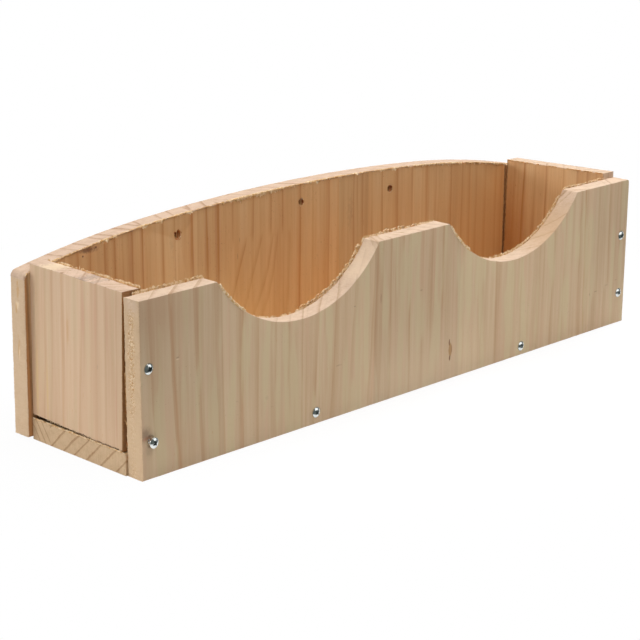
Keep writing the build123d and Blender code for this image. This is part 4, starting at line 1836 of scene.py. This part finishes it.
def add_world():
    world = bpy.data.worlds.new("studio")
    bpy.context.scene.world = world
    world.use_nodes = True
    world.node_tree.nodes.clear()
    tree = Tree(world.node_tree)
    strength = tree.span(seen_rays(tree), 0.0, 1.0, WORLD_LEVEL, 1.0)
    sky = tree.add("Background", {"Color": (1, 1, 1, 1), "Strength": strength})
    out = tree.add("OutputWorld")
    tree.tree.links.new(sky.outputs[0], out.inputs["Surface"])


ROOM_R = 1500.0
ROOM_HEIGHT = 2300.0
DARK_TABLE_FROM = 60.0        # past this, a dark card that only reflections show lies on the paper in front of the board: a painted reflection in the screw heads


def add_dark_room():
    """The unlit room on the camera's side, which only shiny metal shows, and cards seen only in reflections:
    dark ones on the paper and a glowing one, painted reflections that darken the screw heads and give them
    their highlight.
    """
    material, tree = new_material("dark_room")
    dark = tree.add("Emission", {"Color": (0.11, 0.125, 0.12, 1), "Strength": 1.0})
    out = tree.add("OutputMaterial")
    tree.tree.links.new(dark.outputs[0], out.inputs["Surface"])
    shape = Shape()
    rows = []
    for height in (0, ROOM_HEIGHT):
        row = []
        for i in range(25):
            angle = radians(-200 + 190 * i / 24)
            row.append(shape.corner((ROOM_R * cos(angle), ROOM_R * sin(angle), height)))
        rows.append(row)
    shape.strip(rows[0], rows[1], 0, closed=False)
    mirrored_only(shape.build("dark_room", [material]))
    flat_card("dark_table", (-ROOM_R, ROOM_R), (-ROOM_R, -HALF_DEPTH - DARK_TABLE_FROM), material)
    for i, (x, _) in enumerate(BOTTOM_SCREWS):
        reach = (-HALF_DEPTH - DARK_TABLE_FROM, -HALF_DEPTH - 12)
        flat_card(f"dark_patch_{i}", (x - 35, x + 60), reach, material)
    # A glowing card seen only in reflections: the painted highlight on the screw heads.
    bright, tree = new_material("highlight_card")
    glow = tree.add("Emission", {"Color": (1, 1, 1, 1), "Strength": 1.3})
    out = tree.add("OutputMaterial")
    tree.tree.links.new(glow.outputs[0], out.inputs["Surface"])
    corners = ((50, -800, 130), (1100, -800, 130), (1100, -800, 600), (50, -800, 600))
    mirrored_only(plain_sheet("highlight_card", corners, bright))


def flat_card(name, across, back_and_forth, material):
    """A card that lies on the paper and shows only in reflections."""
    (left_x, right_x), (near_y, far_y) = across, back_and_forth
    z = 0.05
    corners = ((left_x, near_y, z), (right_x, near_y, z), (right_x, far_y, z), (left_x, far_y, z))
    mirrored_only(plain_sheet(name, corners, material))


def mirrored_only(card):
    """Hides a card from everything but reflections."""
    card.visible_camera = False
    card.visible_diffuse = False
    card.visible_shadow = False
    card.visible_transmission = False


def light_studio():
    add_world()
    add_floor()
    add_dark_room()
    area_light("over_front", (0, -800, 1500), 1200, 16.5)
    area_light("over_left", (-1000, 100, 1400), 1000, 5)
    area_light("over_right", (1000, 100, 1400), 1000, 20)
    area_light("left", (-1800, 0, 350), 800, 4.8)
    area_light("left_behind", (-1300, 1300, 600), 800, 12.3)


ZINC = zinc("zinc_plate", srgb(236, 238, 234), srgb(214, 219, 218))
# Dull dark metal in the cross recess: painted shade.
RECESS_SHADE = zinc("recess_shade", srgb(112, 120, 116), srgb(66, 74, 72), metal=0.4)
HEAD_MESH = head_mesh()
SHANK_MESH = shank_mesh()

make_front()
make_back()
make_bottom()
make_left()
make_right()
make_screws()
add_camera()
light_studio()

bpy.context.scene.view_settings.view_transform = "Standard"
